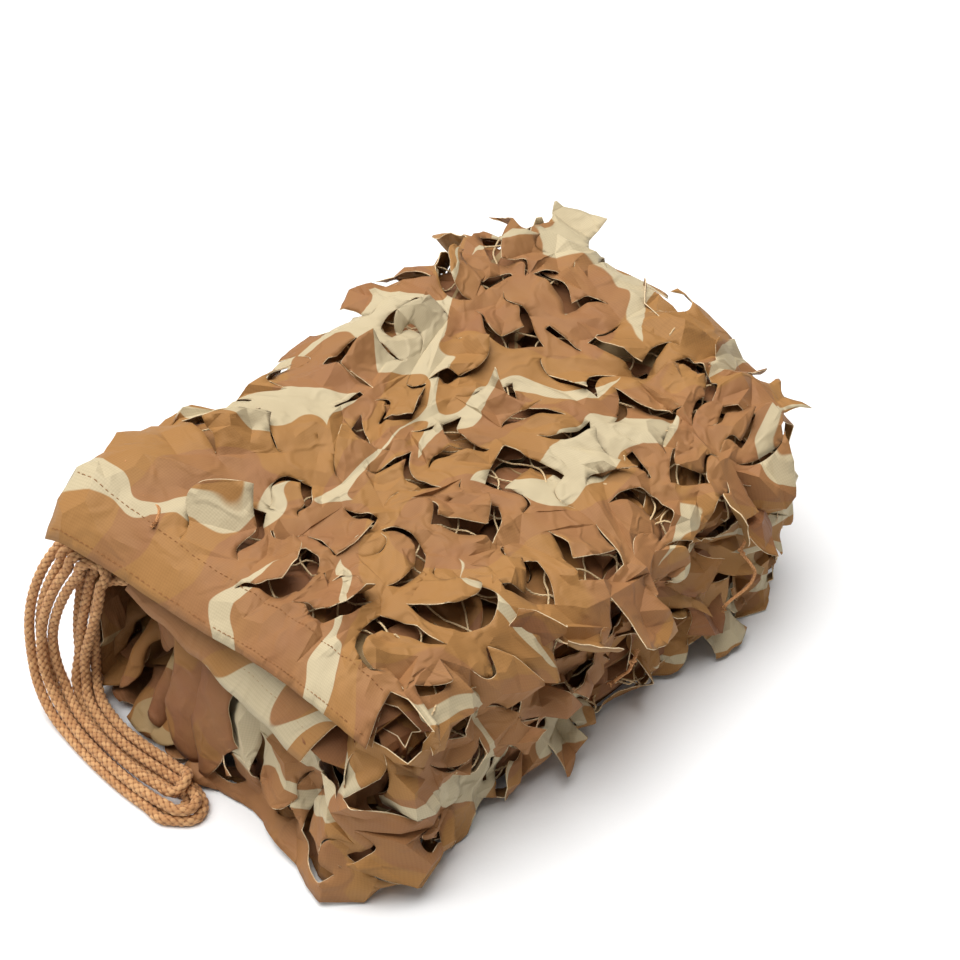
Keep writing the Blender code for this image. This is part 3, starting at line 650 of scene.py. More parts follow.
@dataclass
class Leaf:
    """One leaf of the cloth and the cut that frees it."""

    cut: Tongue
    centre: Span
    turn: float  # which way it points: 0 is along +X and a quarter turn is to the front, over the top
    width: float
    length: float
    mirrored: bool
    lift: float
    bend: float
    twist: float
    shear: float
    narrowing: float
    cup: float
    pull: float  # how much of its cut's length it has left, since the opened cloth shortens it

    @classmethod
    def drawn(cls, rng: Draws, centre: Span, turn: float, lies: Lies, scale: float) -> "Leaf":
        """Draws a leaf's cut, its sizes and how it lies.

        Args:
            rng: the layer's draws.
            centre: its place in the flat cloth.
            turn: which way it points.
            lies: how it may lie, with the chance of each.
            scale: its size against a usual one.

        Returns:
            The leaf.
        """
        chances = np.array([chance for _, chance in lies])
        lie = lies[rng.choice(len(lies), p=chances / chances.sum())][0].value
        cut = list(LeafCut)[rng.integers(len(LeafCut))].value
        width, length = (scale * rng.uniform(*span) for span in (LEAF_WIDTH, LEAF_LENGTH))
        mirrored = bool(rng.random() < 0.5)
        lift, bend = (math.radians(rng.uniform(*span)) for span in lie)
        others = {name: rng.uniform(*span) for name, span in LEAF_SPANS.items()}
        return cls(cut, centre, turn, width, length, mirrored, lift, bend, **others)

    @property
    def way(self) -> Span:
        """The cosine and the sine of its turn."""
        return math.cos(self.turn), math.sin(self.turn)

    def carried(self, corners: Array) -> Array:
        """Corners in leaf widths and lengths, as places of the flat cloth."""
        across = corners[:, 0] * self.width * (-1 if self.mirrored else 1)
        return self.placed(across, (corners[:, 1] - 0.5) * self.length)

    def placed(self, across: Array, ahead: Array) -> Array:
        """Metres across the leaf and ahead of its middle, as places of the flat cloth."""
        c, s = self.way
        return columns(self.centre[0] + ahead * c - across * s, self.centre[1] + ahead * s + across * c)

    def own(self, flat: Array) -> tuple[Array, Array]:
        """Places of the flat cloth, as metres across the leaf and ahead of its hinge."""
        (c, s), (x, y) = self.way, (flat - self.centre).T
        return y * c - x * s, x * c + y * s + self.length * 0.5

    def hinge_ends(self) -> tuple[Array, Array]:
        """The two ends of the hinge: how far across the leaf, and how far ahead of its middle line's foot."""
        return self.own(self.carried(np.array([self.cut.corners[0], self.cut.corners[-1]])))

    def ahead_of_hinge(self, flat: Array) -> Array:
        """How far ahead of the hinge places of the flat cloth are."""
        ((x0, x1), (y0, y1)), (across, ahead) = self.hinge_ends(), self.own(flat)
        return ahead - y0 - (across - x0) * (y1 - y0) / (x1 - x0)

    def line(self, step: float) -> Array:
        """Draws the cut, smooth but for its square corners.

        Args:
            step: about how far apart its points are.

        Returns:
            Its points in the flat cloth.
        """
        corners, sharp = np.array(self.cut.corners), self.cut.sharp
        stops = [0, *sharp, len(corners) - 1]
        parts = []
        for a, b in zip(stops, stops[1:]):
            piece = corners[a : b + 1]
            if len(piece) == 2:
                piece = np.stack([piece[0], piece.mean(axis=0), piece[1]])
            parts.append(spline(piece, np.linspace(0.0, len(piece) - 1.0, 10 * (len(piece) - 1) + 1)))
        smooth = self.carried(np.concatenate([parts[0], *[p[1:] for p in parts[1:]]]))
        corner_at = np.cumsum([0] + [len(p) - 1 for p in parts])
        runs = [evened(smooth[a : b + 1], step) for a, b in zip(corner_at, corner_at[1:])]
        return np.concatenate([runs[0], *[r[1:] for r in runs[1:]]])


def within(outline: Array, places: Array) -> Array:
    """Says whether places lie inside a closed outline, both flat.

    Args:
        outline: the outline's points.
        places: the places.

    Returns:
        Whether each does.
    """
    x, y = places[:, 0][:, None], places[:, 1][:, None]
    x0, y0 = outline[:, 0], outline[:, 1]
    x1, y1 = np.roll(x0, -1), np.roll(y0, -1)
    crosses = (y0 > y) != (y1 > y)
    at = x0 + (y - y0) * (x1 - x0) / np.where(y1 == y0, 1e-12, y1 - y0)
    return (crosses & (x < at)).sum(axis=1) % 2 == 1


class FlatCloth:
    """A flat piece of cloth, meshed with its cuts: points, triangles, and the leaf that each belongs to."""

    def __init__(self, holds: Holds, spacing: float, seed: int) -> None:
        """Starts with no line.

        Args:
            holds: says whether places lie on the cloth.
            spacing: from point to point of the mesh.
            seed: what the random draws start from.
        """
        self.holds, self.spacing = holds, spacing
        self.rng = np.random.default_rng(seed)
        self.lines: list[tuple[Array, bool]] = []
        self.holes: list[Array] = []

    def add_line(self, line: Array, cut: bool, closed: bool = False) -> None:
        """Adds a line that edges follow, about as fine as the mesh; a cut parts the cloth along it."""
        self.lines.append((np.concatenate([line, line[:1]]) if closed else line, cut))

    def grid(self, taken: Array) -> Array:
        """Scatters points over the cloth, clear of its lines.

        Args:
            taken: the points of the lines.

        Returns:
            The new points.
        """
        low, high, fine = taken.min(axis=0), taken.max(axis=0), self.spacing / 4
        points = scattered(low, high, self.spacing, 0.14, self.rng)
        points = points[self.holds(points)]
        near = np.zeros(np.ceil((high - low) / fine).astype(int) + 12, bool)
        cells, own = (((places - low) / fine).astype(int) + 5 for places in (taken, points))
        for dx, dy in product(range(-3, 4), repeat=2):
            if dx * dx + dy * dy <= 7:
                near[tuple((cells + (dx, dy)).T)] = True
        return points[~near[tuple(own.T)]]

    def meshed(self) -> tuple[Array, Array]:
        """Triangulates the cloth and parts it along its cuts.

        Returns:
            The flat points and the triangles.
        """
        lines = [line for line, _ in self.lines]
        is_cut = [cut for line, cut in self.lines for _ in line[1:]]
        points = np.concatenate([*lines, self.grid(np.concatenate(lines))])
        made = delaunay_2d_cdt([Vector(p) for p in points.tolist()], joined_up(lines), [], 0, 1e-6)
        flat = np.array([tuple(v) for v in made[0]])
        faces = np.array([f for f in made[2] if len(f) == 3])
        centres = flat[faces].mean(axis=1)
        kept = self.holds(centres)
        for hole in self.holes:
            near = kept & (np.linalg.norm(centres - hole.mean(axis=0), axis=1) < 0.03)
            at = np.flatnonzero(near)
            kept[at[within(hole, centres[at])]] = False
        cuts = {tuple(sorted(e)) for e, origin in zip(made[1], made[4]) if any(is_cut[i] for i in origin)}
        return parted(flat, faces[kept], cuts)


def parted(flat: Array, faces: Array, cuts: set[tuple[int, int]]) -> tuple[Array, Array]:
    """Gives the two sides of each cut points of their own.

    Args:
        flat: the points.
        faces: the triangles.
        cuts: the edges that are cut, each with its lower point first.

    Returns:
        The points and triangles of the parted mesh.
    """
    corners = np.arange(faces.size).reshape(-1, 3)
    starts, start_corner = (a.T.ravel() for a in (faces, corners))
    ends, end_corner = (np.roll(a, -1, axis=1).T.ravel() for a in (faces, corners))
    flip = starts > ends
    low, low_corner = np.where(flip, (ends, end_corner), (starts, start_corner))
    high, high_corner = np.where(flip, (starts, start_corner), (ends, end_corner))
    order = np.lexsort((high, low))
    low, high, low_corner, high_corner = (v[order] for v in (low, high, low_corner, high_corner))
    same = (low[1:] == low[:-1]) & (high[1:] == high[:-1])
    cut = np.array([(a, b) in cuts for a, b in zip(low[:-1].tolist(), high[:-1].tolist())])
    joined = np.flatnonzero(same & ~cut)
    first = np.concatenate([low_corner[joined], high_corner[joined]])
    second = np.concatenate([low_corner[joined + 1], high_corner[joined + 1]])
    label = np.arange(faces.size)
    while True:
        least = np.minimum(label[first], label[second])
        after = label.copy()
        np.minimum.at(after, first, least)
        np.minimum.at(after, second, least)
        if (after == label).all():
            break
        label = after
    names, new = np.unique(label, return_inverse=True)
    return flat[faces.ravel()[names]], new.reshape(-1, 3)


class Swell(NamedTuple):
    """A place where the loose cloth stands further off the packet, or lies closer to it."""

    along: float
    row: float
    length: float
    rows: float
    height: float


SWELLS = (
    Swell(-0.165, 3.05, 0.034, 0.8, 0.010),  # the bulky corner at the back of the left end
    Swell(-0.100, 3.0, 0.050, 1.0, 0.012),
    Swell(0.060, 2.95, 0.090, 0.9, 0.006),  # the back edge
    Swell(0.215, 10.3, 0.050, 1.7, -0.014),  # the foot of the right corner
    Swell(0.330, 7.3, 0.060, 1.6, -0.013),  # the foot of the right end
    Swell(0.205, 6.2, 0.060, 2.0, 0.013),  # the top of the right end
    Swell(0.080, 10.0, 0.130, 1.5, -0.009),  # the foot of the front, tucked under
    Swell(-0.185, 10.6, 0.045, 1.2, 0.011),  # the foot of the front corner, spread on the floor
)
UNDER_SWELL = 0.85  # how much of a swell the layer under takes
SHARP_FROM = 20.0  # degrees of a crease that shows as a sharp one
REACH = np.array([0.2235, 0.1630, 0.1705])  # from the net's middle, past which loose cloth is pressed back
PRESSED_BACK = 0.8  # how much of what is past it


WAYS = np.array([(1, 0), (-1, 0), (0, 1), (0, -1)])  # the four of the flat cloth


class Creases:
    """Flat cloth divided by straight creases into facets, which stay flat when the cloth is laid."""

    def __init__(self, holds: Holds, corners: Array, held: list[tuple[int, int]]) -> None:
        """Joins the facets' corners up.

        Args:
            holds: says whether places lie on the cloth.
            corners: the places where creases meet.
            held: pairs of corners that a crease must join.
        """
        self.holds = holds
        made = delaunay_2d_cdt([Vector(c) for c in corners.tolist()], held, [], 0, 1e-6)
        self.corners = np.array([tuple(v) for v in made[0]])
        self.edges = np.array(made[1])
        facets = np.array([f for f in made[2] if len(f) == 3])
        a, b, c = (self.corners[facets[:, k]] for k in range(3))
        self.facets = facets[(np.abs(crossed(b - a, c - a)) > 1e-7) & holds((a + b + c) / 3)]
        flat = [(x, y, 0.0) for x, y in self.corners.tolist()]
        self.tree = BVHTree.FromPolygons(flat, self.facets.tolist())

    def lines(self) -> Array:
        """The creases that lie inside the cloth, each as its two ends."""
        ends = self.corners[self.edges]
        return ends[np.all([self.holds(ends.mean(axis=1) + way * 0.001) for way in WAYS], axis=0)]

    def find(self, places: Array) -> Array:
        """The facet that each place is in, or that is nearest to it."""
        return np.array([self.tree.find_nearest((x, y, 0.0))[2] for x, y in places.tolist()])

    def carried(self, places: Array, facets: Array, laid: Array, rows: Array | None = None) -> Array:
        """Carries places of the flat cloth to their laid facets.

        Args:
            places: the flat places.
            facets: the facet of each.
            laid: the points of the facets' three corners.
            rows: the row of laid for each place, where it isn't its facet's number.

        Returns:
            The points.
        """
        a, b, c = (self.corners[self.facets[facets, k]] for k in range(3))
        whole = crossed(b - a, c - a)
        second, third = crossed(places - a, c - a) / whole, crossed(b - a, places - a) / whole
        weights = columns(1 - second - third, second, third)
        return (weights[:, :, None] * laid[facets if rows is None else rows]).sum(axis=1)


@dataclass
class Garnish:
    """One layer of the incised cloth round the packet: a ring of cloth about every leaf, and the leaf."""

    name: str
    wrap: Wrap
    seed: int
    spacing: float
    depth: float = 0.0
    thickness: float = 0.0006
    is_under: bool = False
    columns: int = 7
    clearance: float = 0.0046  # between two cuts, and between a cut and the cloth's edge
    opening: float = 0.0022  # how far the cloth draws back from a cut
    opening_reach: float = 0.008
    rim_lift: float = 0.0030
    fullness: float = 0.009  # how far the loose cloth stands proud at the back of the right end
    facet: float = 0.0125  # the usual width of the facets between creases
    crease_step: float = 0.0040
    top_relief: float = 0.0011
    side_relief: float = 0.0034
    corner_relief: float = 0.0010
    leaf_relief: float = 0.0015
    fine_relief: float = 0.00022
    leaves: list[Leaf] = field(default_factory=list)
    cuts: list[Array] = field(default_factory=list)
    creases: Creases | None = None
    ring: tuple[Array, Array] | None = None  # the corners of the laid facets, and the way out there

    def __post_init__(self) -> None:
        """Starts the draws and the uneven fields, which but for the rims' are shared, so that the layers nest."""
        self.packet = self.wrap.packet
        self.broad, self.sharp, self.fine = Ripples(5, 0.046), Ripples(9, 0.019), Ripples(7, 0.012)
        self.rim_field, self.rng = Ripples(self.seed + 40, 0.021), np.random.default_rng(self.seed)

    def on_top(self, flat: Array) -> Array:
        """Says how far places are on top of the packet.

        Args:
            flat: places of the flat cloth.

        Returns:
            1 on top, 0 on the sides and ends, and smoothly between.
        """
        row, (first, last) = self.wrap.row(flat), self.packet.top_rows
        inner = ease((self.packet.right + 0.004 - flat[:, 0]) / 0.02)
        return ease(row - first + 0.4) * ease(last + 0.4 - row) * inner

    def on_hem(self, flat: Array) -> Array:
        """1 on the plain hems, 0 on the cut cloth."""
        outward = (self.packet.left + 0.004 - flat[:, 0]) / 0.01
        return ease(outward) * (self.wrap.row(flat) < self.packet.top_rows[1])

    def relief(self, flat: Array) -> Array:
        """Says how far the cloth stands off the skin.

        Args:
            flat: places of the flat cloth.

        Returns:
            The height of each.
        """
        top, hem, row, p = self.on_top(flat), self.on_hem(flat), self.wrap.row(flat), self.packet
        height = self.side_relief + (self.top_relief - self.side_relief) * top
        uneven = self.broad(flat) * height + self.sharp(flat) * self.corner_relief * (1.7 - 0.7 * top)
        rightness = ease((flat[:, 0] - p.left) / (p.right - p.left))
        backness = ease((p.top_rows[1] - row) / (p.top_rows[1] - p.top_rows[0]))
        frontness = ease(row - p.top_rows[1])
        share = 0.3 + 0.7 * rightness * (0.35 + 0.65 * backness)
        full = self.fullness * (1 - hem) * (1 - frontness) * share
        for swell in SWELLS:
            off = ((flat[:, 0] - swell.along) / swell.length) ** 2 + ((row - swell.row) / swell.rows) ** 2
            full = full + swell.height * (UNDER_SWELL if self.is_under else 1.0) * np.exp(-off)
        return uneven * (1 - 0.75 * hem) + full - self.depth

    def rim(self, flat: Array) -> tuple[Array, Array]:
        """Draws the cloth about the cuts back and lifts it.

        Args:
            flat: places of the flat cloth.

        Returns:
            The shift of each place in the flat, and its lift.
        """
        shift, lift = np.zeros_like(flat), np.zeros(len(flat))
        uneven = self.rim_field(flat)
        for leaf, cut in zip(self.leaves, self.cuts):
            centre = np.array(leaf.centre)
            near = np.flatnonzero(((flat - centre) ** 2).sum(axis=1) < (0.5 * leaf.length + 0.026) ** 2)
            if not len(near):
                continue
            off = flat[near][:, None, :] - cut[None, ::2, :]
            distance = np.sqrt((off**2).sum(axis=2)).min(axis=1)
            fade = np.exp(-((distance / self.opening_reach) ** 2))
            fade *= 1 - np.exp(-((leaf.ahead_of_hinge(flat[near]) / self.opening_reach) ** 2))
            shift[near] += unit(flat[near] - centre) * (fade * self.opening)[:, None]
            lift[near] += fade * self.rim_lift * (uneven[near] + 0.3)
        row, (first, last) = self.wrap.row(flat), self.packet.top_rows
        to_tuck = np.minimum(np.abs(row - first), np.abs(row - last)) * self.wrap.run
        held = np.where(flat[:, 0] > self.packet.right, ease(to_tuck / self.opening_reach), 1.0)
        return shift * held[:, None], lift * held

    def surface(self, flat: Array, band: Array) -> tuple[Array, Array, Array, Array]:
        """The laid cloth without its leaves, at the corners of its facets, as Wrap.frame gives the skin."""
        points, along, round_it, out = self.wrap.frame(flat, band)
        return points + out * (self.relief(flat) + self.rim(flat)[1])[:, None], along, round_it, out

    # The cuts

    def fits(self, line: Array) -> bool:
        """Says whether a cut lies on the cloth and clear of the others.

        Args:
            line: the cut's points.

        Returns:
            Whether it does.
        """
        if not all(self.wrap.holds(line + way * self.clearance).all() for way in WAYS):
            return False
        for other in self.cuts:
            if np.abs(other.mean(axis=0) - line.mean(axis=0)).max() < 0.09:
                off = other[:, None, :] - line[None, ::2, :]
                if (off**2).sum(axis=2).min() < self.clearance**2:
                    return False
        return True

    def try_leaf(self, *choices: Any) -> None:
        """Adds a random leaf, made smaller until its cut is clear of the others, or left out.

        Args:
            choices: what Leaf.drawn is given after the draws.
        """
        leaf = Leaf.drawn(self.rng, *choices)
        for _ in range(7):
            line = leaf.line(self.spacing)
            if self.fits(line):
                self.leaves.append(leaf)
                self.cuts.append(line)
                return
            leaf.width *= 0.93
            leaf.length *= 0.93

    def draw_leaves(self) -> None:
        """Draws the leaves of the whole layer, unit by unit."""
        w, p, rng, down = self.wrap, self.packet, self.rng, math.pi / 2
        pitch, (first, last) = (p.right - p.left) / self.columns, p.top_rows
        middle = 0.95 if self.is_under else 0.5
        for row, column in product(range(p.rows), range(self.columns)):
            if column == 0 and first - 2 <= row <= first and not self.is_under:
                continue
            centre = (p.left + (column + middle) * pitch + rng.uniform(-0.003, 0.003),
                      (row + middle) * w.run + rng.uniform(-0.003, 0.003))
            top = first <= row < last
            if top:
                turn = rng.choice([down, 0.0, math.pi, -down, 0.6], p=[0.34, 0.24, 0.14, 0.12, 0.16])
                lies = LIES_ON_TOP
            else:
                turn, lies = down if row >= last else -down, LIES_ON_SIDES
                turn += rng.choice([0.0, 1.2, -1.2], p=[0.7, 0.15, 0.15])
            is_foot = row == p.rows - 1 and column > 3 or row == p.rows - 2 and column == self.columns - 1
            if row == first:
                turn, lies = -down, LIES_AT_BACK
            if self.is_under or row == first - 1 or is_foot:
                lies = LIES_UNDER
            turn += rng.uniform(-0.45, 0.45)
            self.try_leaf(centre, turn, lies, 1.05 if top else 1.1)
        lies = LIES_UNDER if self.is_under else LIES_ON_SIDES
        for row, step in product(range(first, last), range(w.falls)):
            own = LIES_UNDER if step == w.falls - 1 and row >= last - 2 else lies
            centre = (p.right + (step + 0.5) * w.fall, (row + 0.5) * w.run)
            self.try_leaf(centre, rng.uniform(-0.5, 0.5), own, 1.05)
        for row in (p.rows - 1.55, p.rows - 0.62):
            centre = (p.left - 0.45 * w.corner, row * w.run)
            self.try_leaf(centre, down + rng.uniform(-0.4, 0.4), lies, 1.0)
        for cell, row in product(range(p.drape_cells), (p.rows - 1.5, p.rows - 0.6)):
            own = LIES_UNDER if row < p.rows - 1 else lies
            centre = (p.left - w.corner - (cell + 0.5) * w.cell, row * w.run)
            self.try_leaf(centre, down + rng.uniform(-0.6, 0.6), own, 1.0)

    def slots(self) -> list[Array]:
        """Draws the narrow openings between the leaves.

        Returns:
            Their outlines in the flat cloth.
        """
        p, rng, found = self.packet, self.rng, []
        pitch = (p.right - p.left) / self.columns
        for row, column in product(range(1, p.rows), range(self.columns + 1)):
            if column == 0 and row <= p.top_rows[1]:
                continue
            centre = np.array([p.left + column * pitch + rng.uniform(-0.008, 0.008),
                               row * self.wrap.run + rng.uniform(-0.008, 0.008)])
            turn = rng.choice([0.0, math.pi / 2]) + rng.uniform(-0.35, 0.35)
            long, wide, lean = (rng.uniform(*span) for span in (SLOT_LENGTH, SLOT_WIDTH, SLOT_LEAN))
            shape = np.array([(-long, -wide * (1 - lean)), (long, -wide * (1 + lean)),
                              (long * 0.96, wide * (1 + lean)), (-long * 1.05, wide * (1 - lean))])
            c, s = math.cos(turn), math.sin(turn)
            outline = centre + shape @ np.array([[c, s], [-s, c]])
            outline = evened(np.concatenate([outline, outline[:1]]), 1.5 * self.spacing)[:-1]
            if self.fits(outline):
                found.append(outline)
                self.cuts.append(outline)
        del self.cuts[len(self.leaves):]
        return found

    # The laid mesh

    def settled(self, flat: Array) -> tuple[Array, Array]:
        """Where places of the laid cloth are, away from its leaves, and the way out there."""
        points, way = (self.creases.carried(flat, self.creases.find(flat), laid) for laid in self.ring)
        return points, unit(way)

    def raised(self, leaf: Leaf, flat: Array, band: Array) -> Array:
        """Bends a leaf up from its hinge.

        Args:
            leaf: the leaf.
            flat: the places of its facets' corners in the flat cloth.
            band: the band of each.

        Returns:
            The corners in space.
        """
        across, ahead = leaf.own(flat)
        beyond = leaf.ahead_of_hinge(flat)
        hinge, out_by = ahead - beyond, np.maximum(beyond, 0.0)
        share, middle = out_by / leaf.length, leaf.hinge_ends()[0].mean()
        foot_across = middle + (across - middle) * (1 - leaf.narrowing * np.minimum(share, 1.0))
        foot_ahead = np.minimum(hinge, ahead) - 0.5 * leaf.length
        c, s = leaf.way
        points, along, round_it, out = self.surface(leaf.placed(foot_across, foot_ahead), band)
        inward = unit(along * c + round_it * s)
        sideways = unit(round_it * c - along * s)
        side = np.clip((across - middle) / leaf.width * 2, -1.0, 1.0)
        run = share[:, None] * (np.arange(10) + 0.5) / 10
        lean = (1.0 + leaf.twist * side)[:, None]
        angle = (leaf.lift * ease(run / 0.3) + leaf.bend * np.maximum(run - 0.2, 0.0) / 0.8) * lean
        out_by = out_by * leaf.pull
        forward, upward = (way(angle).mean(axis=1) * out_by for way in (np.cos, np.sin))
        upward += 0.6 * leaf.cup * leaf.length * np.minimum(share, 1.0) * (1 - side**2)
        upward += self.sharp(flat * 1.3 + 0.4) * self.leaf_relief * np.minimum(share * 2, 1.0)
        sheared = leaf.shear * out_by
        return points + inward * forward[:, None] + out * upward[:, None] + sideways * sheared[:, None]

    def creased(self) -> Creases:
        """Divides the flat cloth into its facets.

        Returns:
            Their creases.
        """
        rng = np.random.default_rng(self.seed + 5)
        cuts = self.cuts[: len(self.leaves)]
        lines = [stepped(line, self.facet) for line in (*self.wrap.outlines, *self.wrap.tucks)]
        lines += [cut[[0, -1]] for cut in cuts]
        held = joined_up(lines)
        corners = lines + [cut[(len(cut) * np.array([0.24, 0.5, 0.76])).astype(int)] for cut in cuts]
        fixed = np.concatenate(corners)
        loose = scattered(fixed.min(axis=0), fixed.max(axis=0), self.facet, 0.3, rng)
        loose = loose[self.wrap.holds(loose)]
        near = np.sqrt(((loose[:, None, :] - fixed[None]) ** 2).sum(axis=2)).min(axis=1)
        corners.append(loose[near > 0.55 * self.facet])
        return Creases(self.wrap.holds, np.concatenate(corners), held)

    def flat_mesh(self, slots: list[Array]) -> tuple[Array, Array]:
        """Meshes the flat cloth along its creases and cuts.

        Args:
            slots: the outlines of its narrow openings.

        Returns:
            The flat points and the triangles.
        """
        cloth = FlatCloth(self.wrap.holds, 2.2 * self.spacing, self.seed)
        for outline in self.wrap.outlines:
            cloth.add_line(stepped(outline, self.crease_step), False)
        for tuck in self.wrap.tucks:
            cloth.add_line(evened(tuck, self.crease_step), True)
        for crease in self.creases.lines():
            cloth.add_line(evened(crease, self.crease_step), False)
        for cut in self.cuts:
            cloth.add_line(cut, True)
        for slot in slots:
            cloth.add_line(slot, False, closed=True)
            cloth.holes.append(slot)
        return cloth.meshed()

    def laid(self) -> tuple[Array, Array, Array]:
        """Meshes the layer and lays it on the packet.

        Returns:
            The flat places, the points in space and the triangles.
        """
        self.draw_leaves()
        slots = self.slots()
        creases = self.creases = self.creased()
        flat, faces = self.flat_mesh(slots)
        centres, leaf_of = flat[faces].mean(axis=1), np.full(len(faces), -1)
        for number, (leaf, cut) in enumerate(zip(self.leaves, self.cuts)):
            near = np.flatnonzero(((centres - leaf.centre) ** 2).sum(axis=1) < (leaf.length + 0.01) ** 2)
            leaf_of[near[within(cut, centres[near])]] = number
        on_ring = np.zeros(len(flat), bool)
        on_ring[np.unique(faces[leaf_of < 0])] = True
        moved = flat + self.rim(flat)[0] * on_ring[:, None]
        towards = np.zeros_like(flat)
        for k in range(3):
            np.add.at(towards, faces[:, k], centres - flat[faces[:, k]])
        facet = creases.find(moved + unit(towards) * 0.00005)
        facet_corners = creases.corners[creases.facets]
        band = np.repeat(self.wrap.band(facet_corners.mean(axis=1)), 3)
        places = facet_corners.reshape(-1, 2)
        corners, _, _, ways = self.surface(places, band)
        self.ring = (corners.reshape(-1, 3, 3), ways.reshape(-1, 3, 3))
        points = creases.carried(moved, facet, self.ring[0])
        for number, leaf in enumerate(self.leaves):
            own = np.unique(faces[leaf_of == number])
            own = own[~on_ring[own]]
            if len(own):
                used, index = np.unique(facet[own], return_inverse=True)
                mine = (used[:, None] * 3 + np.arange(3)).ravel()
                lifted = self.raised(leaf, places[mine], band[mine]).reshape(-1, 3, 3)
                points[own] = creases.carried(flat[own], used[index], lifted, index)
        way = creases.carried(moved, facet, self.ring[1])
        points += unit(way) * (self.fine(flat) * self.fine_relief)[:, None]
        points -= np.sign(points) * np.maximum(np.abs(points) - REACH, 0.0) * PRESSED_BACK
        return flat, rest(points, FLOOR_REST), faces[:, ::-1]

    def build(self) -> Piece:
        """Returns:
            The piece.
        """
        flat, points, faces = self.laid()
        LOG.info("%s: %d leaves, %d triangles", self.name, len(self.leaves), len(faces))
        piece = mesh_piece(self.name, points, faces, flat, self.seed)
        add_thickness(piece, self.thickness)
        area = sum((a.end - a.start) * (a.last_row - a.row) * self.wrap.run for a in self.wrap.areas)
        return piece


def mesh_piece(name: str, points: Array, faces: Array, flat: Array, layer: float = 0.0) -> Piece:
    """Makes a smooth mesh object that remembers its places in the flat.

    Args:
        name: the object's name.
        points: its vertices.
        faces: its triangles or quads, one a row.
        flat: the flat place of each vertex, or three coordinates of its own.
        layer: a number that sets its print apart from the others'.

    Returns:
        The object.
    """
    mesh = bpy.data.meshes.new(name)
    sides = faces.shape[1]
    mesh.vertices.add(len(points))
    mesh.vertices.foreach_set("co", points.astype(np.float32).ravel())
    mesh.loops.add(faces.size)
    mesh.loops.foreach_set("vertex_index", faces.astype(np.int32).ravel())
    mesh.polygons.add(len(faces))
    mesh.polygons.foreach_set("loop_start", np.arange(0, faces.size, sides, dtype=np.int32))
    mesh.polygons.foreach_set("use_smooth", np.ones(len(faces), bool))
    mesh.update(calc_edges=True)
    mesh.validate()
    mesh.set_sharp_from_angle(angle=math.radians(SHARP_FROM))
    own = mesh.attributes.new("flat", "FLOAT_VECTOR", "POINT")
    if flat.shape[1] == 2:
        flat = columns(*flat.T, np.full(len(points), 0.37 * layer))
    own.data.foreach_set("vector", flat.astype(np.float32).ravel())
    piece = bpy.data.objects.new(name, mesh)
    bpy.context.scene.collection.objects.link(piece)
    return piece


# Shaders


def maths(operation: str, swapped: bool = False) -> Callable[..., "Signal"]:
    """Makes a method of signals.

    Args:
        operation: what its Math node does.
        swapped: whether the signal comes second.

    Returns:
        The method, which takes the other value where there is one.
    """

    def applied(self: "Signal", other: Any = 0.0) -> "Signal":
        """The node's output."""
        first, second = (other, self) if swapped else (self, other)
        return self.graph.node("ShaderNodeMath", {"operation": operation}, {0: first, 1: second})

    return applied


class Signal:
    """A node's output, with the arithmetic of values."""

    __add__ = __radd__ = maths("ADD")
    __sub__, __rsub__ = maths("SUBTRACT"), maths("SUBTRACT", swapped=True)
    __mul__ = __rmul__ = maths("MULTIPLY")
    __abs__, sine, floor = maths("ABSOLUTE"), maths("SINE"), maths("FLOOR")

    def __init__(self, graph: "Graph", socket: bpy.types.NodeSocket) -> None:
        """Wraps a socket of the graph."""
        self.graph, self.socket = graph, socket

    def step(self, low: float, high: float) -> "Signal":
        """A smooth step from 0 at low to 1 at high."""
        values = {0: self, 1: low, 2: high, 3: 0.0, 4: 1.0}
        return self.graph.node("ShaderNodeMapRange", {"interpolation_type": "SMOOTHSTEP"}, values)


